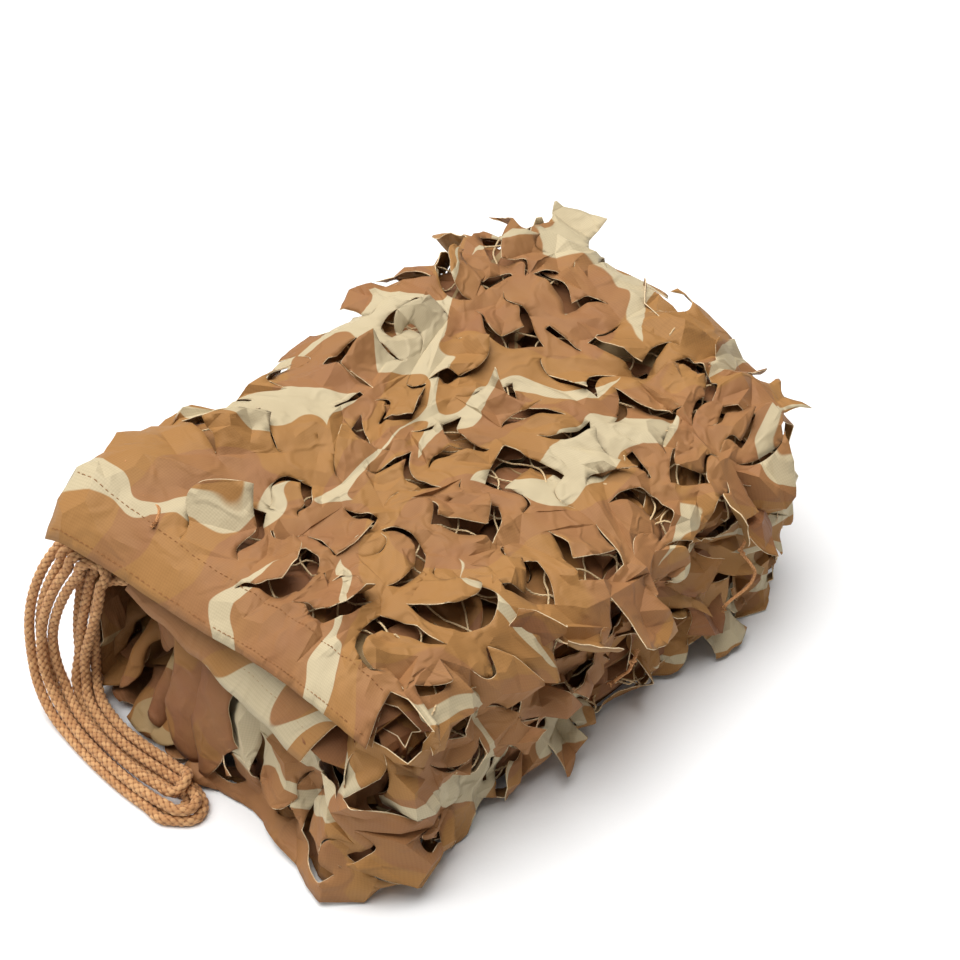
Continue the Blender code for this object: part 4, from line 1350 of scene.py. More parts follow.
class Graph:
    """The nodes of one material."""

    def __init__(self, name: str) -> None:
        """Makes the material with its shader and nothing else.

        Args:
            name: the material's name.
        """
        self.material = bpy.data.materials.new(name)
        self.material.use_nodes = True
        self.nodes = self.material.node_tree.nodes
        self.shader = self.nodes["Principled BSDF"]

    def node(self, kind: str, settings: dict[str, Any], values: dict[Any, Any], output: Any = 0) -> Signal:
        """Adds a node.

        Args:
            kind: its type.
            settings: its own settings, set first.
            values: what its sockets are given, a number, a colour or a signal, by name or place.
            output: the output that is read, by name or place.

        Returns:
            That output.
        """
        made = self.nodes.new(kind)
        for key, value in settings.items():
            setattr(made, key, value)
        for key, value in values.items():
            self.feed(made.inputs[key], value)
        return Signal(self, made.outputs[output])

    def feed(self, socket: bpy.types.NodeSocket, value: Any) -> None:
        """Links a signal to a socket, or sets the socket to a constant.

        Args:
            socket: the socket.
            value: the signal, or a number or a colour.
        """
        if isinstance(value, Signal):
            self.material.node_tree.links.new(value.socket, socket)
        else:
            socket.default_value = (*value, 1.0) if socket.type == "RGBA" and len(value) == 3 else value

    def place(self, attribute: str) -> Signal:
        """A mesh's own coordinates."""
        return self.node("ShaderNodeAttribute", {"attribute_name": attribute}, {}, "Vector")

    def vector(self, operation: str, first: Any, second: Any, output: Any = 0) -> Signal:
        """A Vector Math node."""
        return self.node("ShaderNodeVectorMath", {"operation": operation}, {0: first, 1: second}, output)

    def noise(self, place: Signal, scale: float, detail: float = 2.0, output: str = "Fac") -> Signal:
        """Noise over a place, its scale in bumps a metre."""
        values = {"Vector": place, "Scale": scale, "Detail": detail}
        return self.node("ShaderNodeTexNoise", {}, values, output)

    def colour(self, share: Any, first: Any, second: Any, blend: str = "MIX") -> Signal:
        """Mixes two colours."""
        settings = {"data_type": "RGBA", "blend_type": blend}
        return self.node("ShaderNodeMix", settings, {"Factor": share, 6: first, 7: second}, 2)

    def parts(self, place: Signal) -> tuple[Signal, Signal, Signal]:
        """The three coordinates of a place."""
        made = self.node("ShaderNodeSeparateXYZ", {}, {0: place})
        return tuple(Signal(self, output) for output in made.socket.node.outputs)

    def joined(self, x: Any, y: Any, z: Any) -> Signal:
        """A vector of three values."""
        return self.node("ShaderNodeCombineXYZ", {}, {0: x, 1: y, 2: z})

    def finish(self, colour: Any, roughness: float, height: Signal, depth: float, **constants: float) -> None:
        """Connects the shader.

        Args:
            colour: its base colour.
            roughness: its roughness.
            height: the relief.
            depth: how deep that relief is, in metres.
            constants: values of other sockets of the shader, their names with _ for a space.
        """
        self.feed(self.shader.inputs["Base Color"], colour)
        self.feed(self.shader.inputs["Roughness"], roughness)
        bump = self.node("ShaderNodeBump", {}, {"Height": height, "Distance": depth, "Strength": 1.0})
        self.feed(self.shader.inputs["Normal"], bump)
        for key, value in constants.items():
            self.shader.inputs[key.replace("_", " ")].default_value = value


@dataclass(frozen=True)
class PrintedCloth:
    """The printed garnish cloth: flowing patches of sand and red-brown on tan, on a fine plain weave."""

    name: str
    sand: Colour = (0.745, 0.645, 0.435)
    tan: Colour = (0.450, 0.194, 0.054)
    red: Colour = (0.360, 0.130, 0.060)
    cloudy: Colour = (0.50, 0.245, 0.078)
    yellow: Colour = (0.55, 0.38, 0.14)
    sand_patch: float = 12.5  # bends of the sand's streams a metre
    red_patch: float = 15.0
    sand_width: float = 0.032  # the half width of its streams, as a share of the noise
    stream_uneven: float = 0.30
    red_from: float = 0.475
    # shade darkens every colour evenly; on the copy for the layers inside the packet it is painted shade
    shade: float = 0.6
    yellowing: float = 0.1
    weave: float = 820.0  # threads a metre
    roughness: float = 0.62

    def material(self) -> bpy.types.Material:
        """Makes the material.

        Returns:
            The material.
        """
        g = Graph(self.name)
        place = g.place("flat")
        x, y, layer = g.parts(place)
        apart = g.joined(x, y, layer)
        sway = g.vector("SUBTRACT", g.noise(apart, 13.0, 1.0, "Color"), (0.5, 0.5, 0.5))
        swayed = g.vector("ADD", apart, g.vector("MULTIPLY", sway, (0.075, 0.075, 0.0)))
        stretched = g.vector("MULTIPLY", swayed, (0.75, 1.25, 1.0))
        patch = g.noise(g.vector("ADD", stretched, (5.56, 1.14, 0.0)), self.sand_patch, 0.8)
        breaks = g.noise(g.vector("ADD", stretched, (1.9, 5.3, 0.0)), self.sand_patch * 1.3, 0.5)
        stream = (breaks - 0.5) * self.stream_uneven + self.sand_width - abs(patch - 0.5)
        sand = stream.step(0.0, 0.004)
        other = g.noise(g.vector("ADD", stretched, (4.1, 2.3, 0.0)), self.red_patch, 0.8)
        red = other.step(self.red_from, self.red_from + 0.012)
        ground = g.colour(red, self.tan, self.red)
        cloud = g.noise(apart, 34.0, 3.0)
        ground = g.colour((cloud - 0.5) * 0.9 + 0.35, ground, self.cloudy)
        printed = g.colour(sand, ground, self.sand)
        cast = g.noise(g.vector("ADD", apart, (7.0, 1.0, 0.0)), 22.0, 2.0)
        tint = g.joined(cast * 0.8 + 0.58, cast * 0.9 + 0.52, cast + 0.47)
        printed = g.colour(0.35, printed, tint, "MULTIPLY")
        printed = g.colour(self.yellowing, printed, self.yellow)
        # Darkening by shade, which on the copy for the layers inside the packet is painted shade
        printed = g.colour(1.0, printed, (self.shade,) * 3, "MULTIPLY")
        warp, weft = (x * self.weave * math.pi).sine(), (y * self.weave * math.pi).sine()
        threads = abs(warp) * 0.5 + abs(weft) * 0.5
        printed = g.colour(0.13, printed, g.joined(threads, threads, threads), "MULTIPLY")
        wrinkles = g.noise(apart, 95.0, 4.0)
        folds = 1.0 - abs(g.noise(g.vector("ADD", apart, (2.0, 9.0, 0.0)), 42.0, 1.5) - 0.5) * 14.0
        height = wrinkles * 0.9 + folds.step(0.0, 1.0) * 0.55 + threads * 0.07
        g.finish(printed, self.roughness, height, 0.0009, Specular_IOR_Level=0.24,
                 Sheen_Weight=0.02, Sheen_Roughness=0.5)
        return g.material


@dataclass(frozen=True)
class CutEdge:
    """The heat-cut edge of the cloth, paler than its face."""

    name: str
    colour: Colour = (0.88, 0.70, 0.45)

    def material(self) -> bpy.types.Material:
        """Makes the material.

        Returns:
            The material.
        """
        g = Graph(self.name)
        place = g.place("flat")
        fray = g.noise(place, 900.0, 2.0)
        tone = g.colour(fray.step(0.35, 0.7), tuple(c * 0.72 for c in self.colour), self.colour)
        g.finish(tone, 0.8, fray, 0.0002, Specular_IOR_Level=0.25)
        return g.material


# The border rope


class Bend(NamedTuple):
    """A place of one turn of the hank, with how much of each of a strand's own sizes it takes."""

    x: float
    y: float
    z: float
    outer: float
    inner: float
    end: float
    over: float
    after: float


class Strand(NamedTuple):
    """A turn against the outermost one: how far inside it lies, and how high it is on the floor."""

    outer: float
    inner: float
    end: float
    over: float
    height: float


@dataclass(frozen=True)
class BraidFinish:
    """The rope's braided yarn, two tones of tan with paler fibres, and painted shade in the gaps between the
    yarns.
    """

    name: str
    light: Colour = (0.60, 0.33, 0.145)
    dark: Colour = (0.44, 0.205, 0.078)
    # deep: painted shade, the colour of the gaps between the yarns
    deep: Colour = (0.19, 0.070, 0.026)

    def material(self) -> bpy.types.Material:
        """Makes the material from the braid's own coordinates: its two families of yarn, its relief, and painted
        shade in the relief's low places.

        Returns:
            The material.
        """
        g = Graph(self.name)
        first, second, height = g.parts(g.place("flat"))
        yarn = g.noise(g.joined(first.floor() * 3.7, second.floor() * 2.3, 0.5), 1.0, 0.0)
        tone = g.colour(yarn.step(0.42, 0.60), self.dark, self.light)
        fibre = g.noise(g.joined(first, second * 7.0, height), 2.6, 3.0)
        tone = g.colour((fibre - 0.5) * 0.9 + 0.2, tone, (0.80, 0.50, 0.26))
        # Painted shade: the low places of the braid's relief take the deep colour
        tone = g.colour(height.step(0.02, 0.60), self.deep, tone)
        g.finish(tone, 0.86, fibre, 0.0002, Specular_IOR_Level=0.2, Sheen_Weight=0.12)
        return g.material


@dataclass
class BorderRope:
    """The loose hank of the net's border rope, four turns of one braided line."""

    packet: Packet
    diameter: float = 0.006
    gap: float = 0.0003
    route_points: int = 110
    settling: int = 120
    easing: float = 0.12
    eased_rounds: int = 2
    bend: float = 0.008  # the tightest radius the rope is eased to
    bend_step: float = 0.005
    bend_rounds: int = 100
    bend_give: float = 0.15
    bend_lag: int = 3
    length: float = 1.85
    exit: Place = (-0.172, 0.110, 0.122)
    seated: Place = (-0.169924, 0.11612, 0.122529)
    inside: Place = (-0.164, 0.070, 0.093)
    around: int = 30
    ring_step: float = 0.0008
    yarns: int = 4  # in each family, round the rope
    relief: float = 0.00075
    turn: tuple[Bend, ...] = tuple(Bend(*row) for row in (
        (-0.1860, 0.1225, 0.1140, 0, 0, 0, 1, 0), (-0.1980, 0.1310, 0.0985, 0.4, 0, 0, 0.9, 0),
        (-0.2100, 0.1360, 0.0730, 0.6, 0, 0, 0.7, 0), (-0.2170, 0.1350, 0.0420, 0.8, 0, 0, 0.4, 0),
        (-0.2220, 0.1200, 0.0120, 1, 0, 0, 0.2, 0), (-0.2285, 0.0860, 0, 1, 0, 0, 0, 0),
        (-0.2310, 0.0450, 0, 1, 0, 0, 0, 0), (-0.2280, 0.0060, 0, 1, 0, 0.6, 0, 0),
        (-0.2180, -0.0120, 0, 0.6, 0.4, 1, 0, 0), (-0.2060, -0.0080, 0, 0.4, 0.6, 1, 0, 0),
        (-0.2035, 0.0220, 0, 0, 1, 0.3, 0, 0), (-0.2085, 0.0560, 0, 0, 1, 0, 0, 0),
        (-0.2035, 0.0940, 0, 0, 1, 0, 0, 0), (-0.1960, 0.1210, 0.0180, 0, 0.5, 0, 0, 0.5),
        (-0.1925, 0.1265, 0.0560, 0, 0.4, 0, 0, 0.9), (-0.1845, 0.1225, 0.0980, 0, 0, 0, 0, 1),
    ))
    strands: tuple[Strand, ...] = (
        Strand(0.0, 0.0, 0.0, 0.0, 0.0031),
        Strand(0.0064, 0.0064, 0.0090, 0.0085, 0.0031),
        Strand(0.0032, 0.0032, 0.0030, 0.0170, 0.0090),
        Strand(0.0100, 0.0010, 0.0150, 0.0255, 0.0110),
    )

    @property
    def on_floor(self) -> float:
        """How high its middle is where it lies on the floor."""
        return self.diameter / 2 + 0.0001

    def route(self) -> Array:
        """The hank's own route: a loop for each turn, then its end.

        Returns:
            The route's points.
        """
        route = [self.exit]
        for strand, after in zip(self.strands, self.strands[1:] + self.strands[-1:]):
            for bend in self.turn:
                x = bend.x + strand.outer * bend.outer - strand.inner * bend.inner
                y = bend.y + strand.end * bend.end - strand.over * bend.over - after.over * bend.after
                route.append((x, y, bend.z if bend.z else strand.height))
        return np.array(route + [self.inside])

    def settled(self, line: Array) -> Array:
        """Pushes neighbouring turns apart and up off the floor.

        Args:
            line: the rope's points.

        Returns:
            The points where they come to rest.
        """
        line = line.copy()
        for count in range(self.settling):
            if count < self.eased_rounds:
                line[1:-1] += self.easing * (line[:-2] + line[2:] - 2 * line[1:-1])
            self.push_apart(line, 4)
        return line

    def push_apart(self, line: Array, lag: int) -> None:
        """Pushes runs that are closer than a diameter apart, and lifts them to the floor's top.

        Args:
            line: the line's points, which are moved.
            lag: how many points apart two runs are before they push each other.
        """
        first, second = np.triu_indices(len(line) - 1, lag)
        start_a, start_b = line[first], line[second]
        run_a, run_b = line[first + 1] - start_a, line[second + 1] - start_b
        between = start_a - start_b
        aa, bb, ab = (run_a * run_a).sum(1), (run_b * run_b).sum(1), (run_a * run_b).sum(1)
        a0, b0 = (run_a * between).sum(1), (run_b * between).sum(1)
        at_a = np.clip((ab * b0 - bb * a0) / np.maximum(aa * bb - ab * ab, 1e-15), 0.0, 1.0)
        at_b = np.clip((ab * at_a + b0) / bb, 0.0, 1.0)
        at_a = np.clip((ab * at_b - a0) / aa, 0.0, 1.0)
        apart = between + run_a * at_a[:, None] - run_b * at_b[:, None]
        distance = np.linalg.norm(apart, axis=1)
        short = np.maximum(self.diameter + self.gap - distance, 0.0)
        push = apart * (0.3 * short / np.maximum(distance, 1e-6))[:, None]
        for ends, at, sign in ((first, at_a, 1.0), (second, at_b, -1.0)):
            np.add.at(line, ends, sign * push * (1.0 - at)[:, None])
            np.add.at(line, ends + 1, sign * push * at[:, None])
        rest(line, self.on_floor)

    def refined(self, line: Array, finer: int) -> Array:
        """A smooth line through points, on the floor's top and evenly stepped."""
        smooth = spline(line, np.linspace(0.0, len(line) - 1.0, finer * len(line)))
        return evened(rest(smooth, self.on_floor), self.ring_step)

    def rounded(self, line: Array) -> Array:
        """Opens the folds of the hank, with the rope's length kept.

        Points a few steps apart are spread to at least the chord that the tightest bend gives.

        Args:
            line: the rope's points.

        Returns:
            The new points, bend_step apart.
        """
        line = evened(line, self.bend_step)
        ends = line[[0, -1]].copy()
        spans = [(1, self.bend_step)]
        spans += [(2 * k, 2 * self.bend * math.sin(k * self.bend_step / self.bend)) for k in (1, 2)]
        for _ in range(self.bend_rounds):
            for apart, least in spans:
                run = line[apart:] - line[:-apart]
                size = np.linalg.norm(run, axis=1)
                lack = least - size if apart == 1 else np.maximum(least - size, 0.0)
                push = run * (self.bend_give * lack / np.maximum(size, 1e-9))[:, None]
                line[apart:] += push
                line[:-apart] -= push
            self.push_apart(line, self.bend_lag)
            line[[0, -1]] = ends
        return line

    def centreline(self) -> Array:
        """Lays the hank beside the packet.

        Returns:
            The rope's centreline, smooth and evenly stepped.
        """
        route = self.route()
        line = self.settled(spline(route, np.linspace(0.0, len(route) - 1.0, self.route_points)))
        line[0] = self.seated
        return self.refined(self.rounded(self.refined(line, 12)), 8) + self.packet.place

    def build(self) -> Piece:
        """Returns:
            The piece.
        """
        line = self.centreline()
        rings, around = len(line), self.around
        angle = np.linspace(0.0, 2 * math.pi, around, endpoint=False)
        run = np.arange(rings) * self.ring_step / (math.pi * self.diameter)
        first = self.yarns * (angle[None, :] / (2 * math.pi) + run[:, None])
        second = self.yarns * (angle[None, :] / (2 * math.pi) - run[:, None])
        over = (np.floor(first) + np.floor(second)) % 2 == 0
        cross = np.where(over, first % 1.0, second % 1.0)
        way = np.where(over, second % 1.0, first % 1.0)
        height = np.sin(math.pi * cross) ** 0.7 * (0.35 + 0.65 * np.sin(math.pi * way))
        radius = self.diameter / 2 - 0.6 * self.relief + self.relief * height
        # The braid's height goes to the shader for its relief and for its painted shade between the yarns
        own = columns(first.ravel(), second.ravel(), height.ravel())
        faces = quads(rings, around, closed=True)
        rope = mesh_piece("border_rope_braided", tube_points(line, angle, radius), faces, own)
        rope.data.materials.append(BraidFinish("rope_braid").material())
        tuple(line[0])
        return rope


def tube_points(line: Array, angle: Array, radius: Array | float) -> Array:
    """The points of a tube round a line, ring by ring, turned as little as the line allows.

    Args:
        line: the centreline.
        angle: the places round a ring, in radians.
        radius: the tube's radius, one number or one for each point.

    Returns:
        The points, one a row.
    """
    ahead = unit(np.gradient(line, axis=0))
    side = np.empty_like(line)
    last = unit(np.cross(ahead[0], (0.3, 0.5, 0.8)))
    for k, way in enumerate(ahead):
        last = last - way * float(last @ way)
        last = last / max(float(np.linalg.norm(last)), 1e-12)
        side[k] = last
    other = np.cross(ahead, side)
    ring = np.cos(angle)[None, :, None] * side[:, None, :] + np.sin(angle)[None, :, None] * other[:, None, :]
    radius = np.broadcast_to(radius, ring.shape[:2])
    return (line[:, None, :] + ring * radius[:, :, None]).reshape(-1, 3)


# Strings: the net behind the cloth, and the ties


@dataclass(frozen=True)
class CottonFinish:
    """Thin twisted cotton string."""

    name: str
    colour: Colour = (0.78, 0.62, 0.38)
    shadow: Colour = (0.52, 0.36, 0.19)

    def material(self) -> bpy.types.Material:
        """Makes the material from the string's own coordinates: how far round it, and metres along it.

        Returns:
            The material.
        """
        g = Graph(self.name)
        around, along, _ = g.parts(g.place("flat"))
        twist = (along * 2600.0 + around * 6.2831).sine() * 0.5 + 0.5
        fuzz = g.noise(g.joined(around, along * 300.0, 0.0), 1.0, 3.0)
        tone = g.colour(twist * 0.6 + fuzz * 0.4, self.shadow, self.colour)
        g.finish(tone, 0.9, twist, 0.0002, Specular_IOR_Level=0.2)
        return g.material


class Patches:
    """Parts of one piece, gathered one by one."""

    def __init__(self, name: str, layer: float = 0.0) -> None:
        """Starts with none; layer sets the piece's print apart from the others'."""
        self.name, self.layer = name, layer
        self.parts: list[tuple[Array, Array, Array]] = []

    def add(self, points: Array, faces: Array, flat: Array) -> None:
        """Adds a part, its faces numbered from its own first point."""
        count = sum(len(part[0]) for part in self.parts)
        self.parts.append((points, faces + count, flat))

    def piece(self) -> Piece:
        """Makes the piece."""
        return mesh_piece(self.name, *(np.concatenate(parts) for parts in zip(*self.parts)), self.layer)


class Strings(Patches):
    """Many strings gathered in one piece."""

    def __init__(self, name: str, diameter: float, around: int = 6) -> None:
        """Starts with none; around counts the sides of each."""
        super().__init__(name)
        self.diameter, self.around = diameter, around

    def lay(self, line: Array, widths: Array | float = 1.0) -> None:
        """Adds a string.

        Args:
            line: its centreline, smooth.
            widths: its diameter along it, as a share of the usual.
        """
        angle = np.linspace(0.0, 2 * math.pi, self.around, endpoint=False)
        line = rest(line.copy(), self.diameter / 2 + 0.0002)
        radius = np.broadcast_to(widths, len(line))[:, None] * self.diameter / 2 * np.ones((1, self.around))
        share = np.tile(np.abs(angle / math.pi - 1.0), len(line))
        flat = columns(share, np.repeat(runs_along(line), self.around))
        self.add(tube_points(line, angle, radius), quads(len(line), self.around, closed=True), flat)

    def build(self, finish: CottonFinish) -> Piece:
        """Makes the piece in its finish.

        Args:
            finish: the strings' finish.

        Returns:
            The piece.
        """
        piece = self.piece()
        piece.data.materials.append(finish.material())
        return piece


@dataclass
class BackingNet:
    """The knotted net that the cloth is tied to, which shows across the openings."""

    wrap: Wrap
    seed: int = 61
    pitch: float = 0.029
    depth: float = 0.0056
    side_depth: float = 0.0080
    sag: float = 0.0012
    diameter: float = 0.0011
    step: float = 0.0035
    spread: Span = (-14, 26)  # the numbers of its strings each way
    slant: float = 0.9
    sway: float = 0.0032

    def build(self) -> Piece:
        """Makes the net's strings.

        Returns:
            The piece.
        """
        strings = Strings("backing_net", self.diameter)
        sway, dip = Ripples(self.seed, 0.05), Ripples(self.seed + 1, 0.03)
        w, p = self.wrap, self.wrap.packet
        cloth = Garnish("measure", w, self.seed, 0.003)
        high = p.rows * w.run
        for slope, k in product((1, -1), range(*self.spread)):
            start = p.left - 0.02 + k * self.pitch
            t = np.arange(0.0, high, self.step * 0.7)
            flat = columns(start + slope * (t - high / 2) * self.slant, t)
            flat += columns(sway(flat), sway(flat + 3.1)) * self.sway
            flat[:, 0] += slope * 0.0008 * dip(flat + slope)
            kept = w.holds(flat) & (flat[:, 0] > p.left + 0.004) & (flat[:, 0] < p.right + 0.10)
            runs = np.split(np.arange(len(flat)), np.flatnonzero(np.diff(kept.astype(int))) + 1)
            for run in runs:
                if kept[run[0]] and len(run) > 6:
                    self.lay(strings, cloth, flat[run], dip(flat[run] * 1.7 + slope * 2.0))
        return strings.build(CottonFinish("net_string"))

    def lay(self, strings: Strings, cloth: Garnish, flat: Array, dips: Array) -> None:
        """Adds one string of the net under the cloth.

        Args:
            strings: the net's strings.
            cloth: the cloth that they lie under.
            flat: the string's places in the flat cloth.
            dips: how far each sags, in sags.
        """
        points, _, _, out = self.wrap.frame(flat)
        depth = self.side_depth + (self.depth - self.side_depth) * cloth.on_top(flat)
        height = cloth.relief(flat) - depth + self.sag * dips
        strings.lay(np.clip(points + out * height[:, None], -REACH + 0.005, REACH - 0.005))


ASKEW = (0.2, 0.4, 0.9)  # a way that no tie runs along
KNOT_SIZE = 0.00072


@dataclass
class Tie:
    """A short string that fastens the cloth to its net, knotted, its ends frayed."""

    name: str
    path: tuple[Place, ...]
    knot_at: int
    diameter: float = 0.0021
    yarn: float = 0.0009
    fibres: int = 5
    step: float = 0.0007
    lay: float = 0.006  # from one turn of the twist to the next
    seed: int = 71

    def build(self) -> Piece:
        """Makes the twisted string, its knot and its frayed ends.

        Returns:
            The piece.
        """
        strings = Strings(self.name, self.yarn, 5)
        rng = np.random.default_rng(self.seed)
        corners = np.array(self.path)
        line = smoothed(corners, 12, self.step)
        ahead = unit(np.gradient(line, axis=0))
        side = unit(np.cross(ahead, ASKEW))
        other = np.cross(ahead, side)
        share = np.linspace(0.0, 1.0, len(line))
        run = share * len(line) * self.step
        loose = np.maximum(ease((share - 0.82) / 0.18), ease((0.10 - share) / 0.10))
        for k in range(self.fibres):
            turn = 2 * math.pi * k / self.fibres + run / self.lay * 2 * math.pi * (1 - 0.6 * loose)
            spread = self.diameter * 0.27 * (1 + loose * rng.uniform(0.6, 2.6))
            offset = side * np.cos(turn)[:, None] + other * np.sin(turn)[:, None]
            cut = len(line) - int(rng.integers(0, 4))
            fibre = line + offset * spread[:, None]
            strings.lay(fibre[:cut], (1.0 - 0.35 * loose)[:cut])
        knot_at = int(self.knot_at / (len(corners) - 1) * (len(line) - 1))
        self.add_knot(strings, corners[self.knot_at], ahead[knot_at])
        return strings.build(CottonFinish(self.name + "_cotton", (0.68, 0.36, 0.16), (0.42, 0.19, 0.075)))

    def add_knot(self, strings: Strings, middle: Array, ahead: Array) -> None:
        """Adds an overhand knot: a small trefoil of the same string.

        Args:
            strings: the tie's strings.
            middle: where it is.
            ahead: which way the tie runs there.
        """
        t = np.linspace(0.0, 2 * math.pi, 40)
        knot = columns(np.sin(t) + 2 * np.sin(2 * t), np.cos(t) - 2 * np.cos(2 * t), -1.1 * np.sin(3 * t))
        side = unit(np.cross(ahead, ASKEW))
        axes = np.stack([side, ahead, np.cross(side, ahead)])
        strings.lay(middle + knot @ axes * KNOT_SIZE, 1.7)


# The folded inside of the packet


@dataclass
class InnerPlies:
    """The net folded back and forth in the packet, three of its layers for each ply of the solid."""

    packet: Packet
    seed: int = 51
    offsets: tuple[float, ...] = (-0.0023, 0.0, 0.0023)
    columns: int = 36
    across: int = 18
    bend_steps: int = 4
    ragged: float = 0.007
    uneven: float = 0.0011
    droop: float = 0.010

    def path(self) -> Array:
        """Draws the section of the folds.

        Returns:
            For each point, the ply, its y, its height and how far into the next ply.
        """
        p, lines = self.packet, []
        for index in range(p.plies):
            way, height = 1 if index % 2 == 0 else -1, p.ply_height(index)
            for k in range(self.across + 1):
                lines.append((index, way * p.half * (2 * k / self.across - 1), height, 0.0))
            for k in range(1, self.bend_steps) if index < p.plies - 1 else ():
                angle = math.pi * k / self.bend_steps
                y, rise = p.half + p.pitch / 2 * math.sin(angle), p.pitch / 2 * (1 - math.cos(angle))
                lines.append((index, way * y, height + rise, k / self.bend_steps))
        return np.array(lines)

    def build(self) -> Piece:
        """Returns:
            The piece.
        """
        p, path = self.packet, self.path()
        ends = np.array(p.ply_ends)
        index = path[:, 0].astype(int)
        after = np.minimum(index + 1, p.plies - 1)
        left = ends[index, 0] + (ends[after, 0] - ends[index, 0]) * path[:, 3]
        right = ends[index, 1] + (ends[after, 1] - ends[index, 1]) * path[:, 3]
        run = runs_along(path[:, 1:3])
        normal = unit(np.gradient(path[:, 1:3], axis=0))[:, ::-1] * np.array([-1.0, 1.0])
        share = np.linspace(0.0, 1.0, self.columns)
        end_field, field_z = Ripples(self.seed, 0.05), Ripples(self.seed + 1, 0.05)
        patches, rows = Patches("inner_plies", 5.0), len(path)
        for layer, offset in enumerate(self.offsets):
            at = columns(run, np.full(rows, layer * 0.3))
            start = left + self.ragged * (end_field(at) - 0.4)
            stop = right + self.ragged * 0.5 * (end_field(at + 7.0) - 0.4)
            x = start[:, None] + (stop - start)[:, None] * share[None, :]
            y = (path[:, 1] + normal[:, 0] * offset)[:, None] * np.ones_like(x)
            z = (path[:, 2] + normal[:, 1] * offset)[:, None] * np.ones_like(x)
            laid = columns(x.ravel(), np.repeat(run, self.columns) + layer * 0.9)
            wave = field_z(laid).reshape(x.shape) * self.uneven
            end = np.exp(-(x - start[:, None]) / 0.014)
            fall = self.droop * end * (0.5 + 0.5 * end_field(at + 3.0))[:, None] * np.minimum(z / 0.05, 1.0)
            carried = p.packed(x.ravel(), y.ravel(), z.ravel()) + p.place
            carried[:, 2] += (wave - fall).ravel()
            patches.add(rest(carried, FLOOR_REST + 0.0004 * layer), quads(rows, self.columns), laid)
        piece = patches.piece()
        return piece


@dataclass(frozen=True)
class Ribbon:
    """A single leaf at the packet's left end: where it starts, how it hangs, and how far it is rolled."""

    y: float
    z: float
    x: float
    width: float
    length: float
    first: float  # its slope where it starts, in degrees below the level
    last: float  # and at its tip
    roll: float  # how much of a circle its width goes round, in degrees
    swing: float  # which way it faces, in degrees from -X towards +Y
    tilt: float


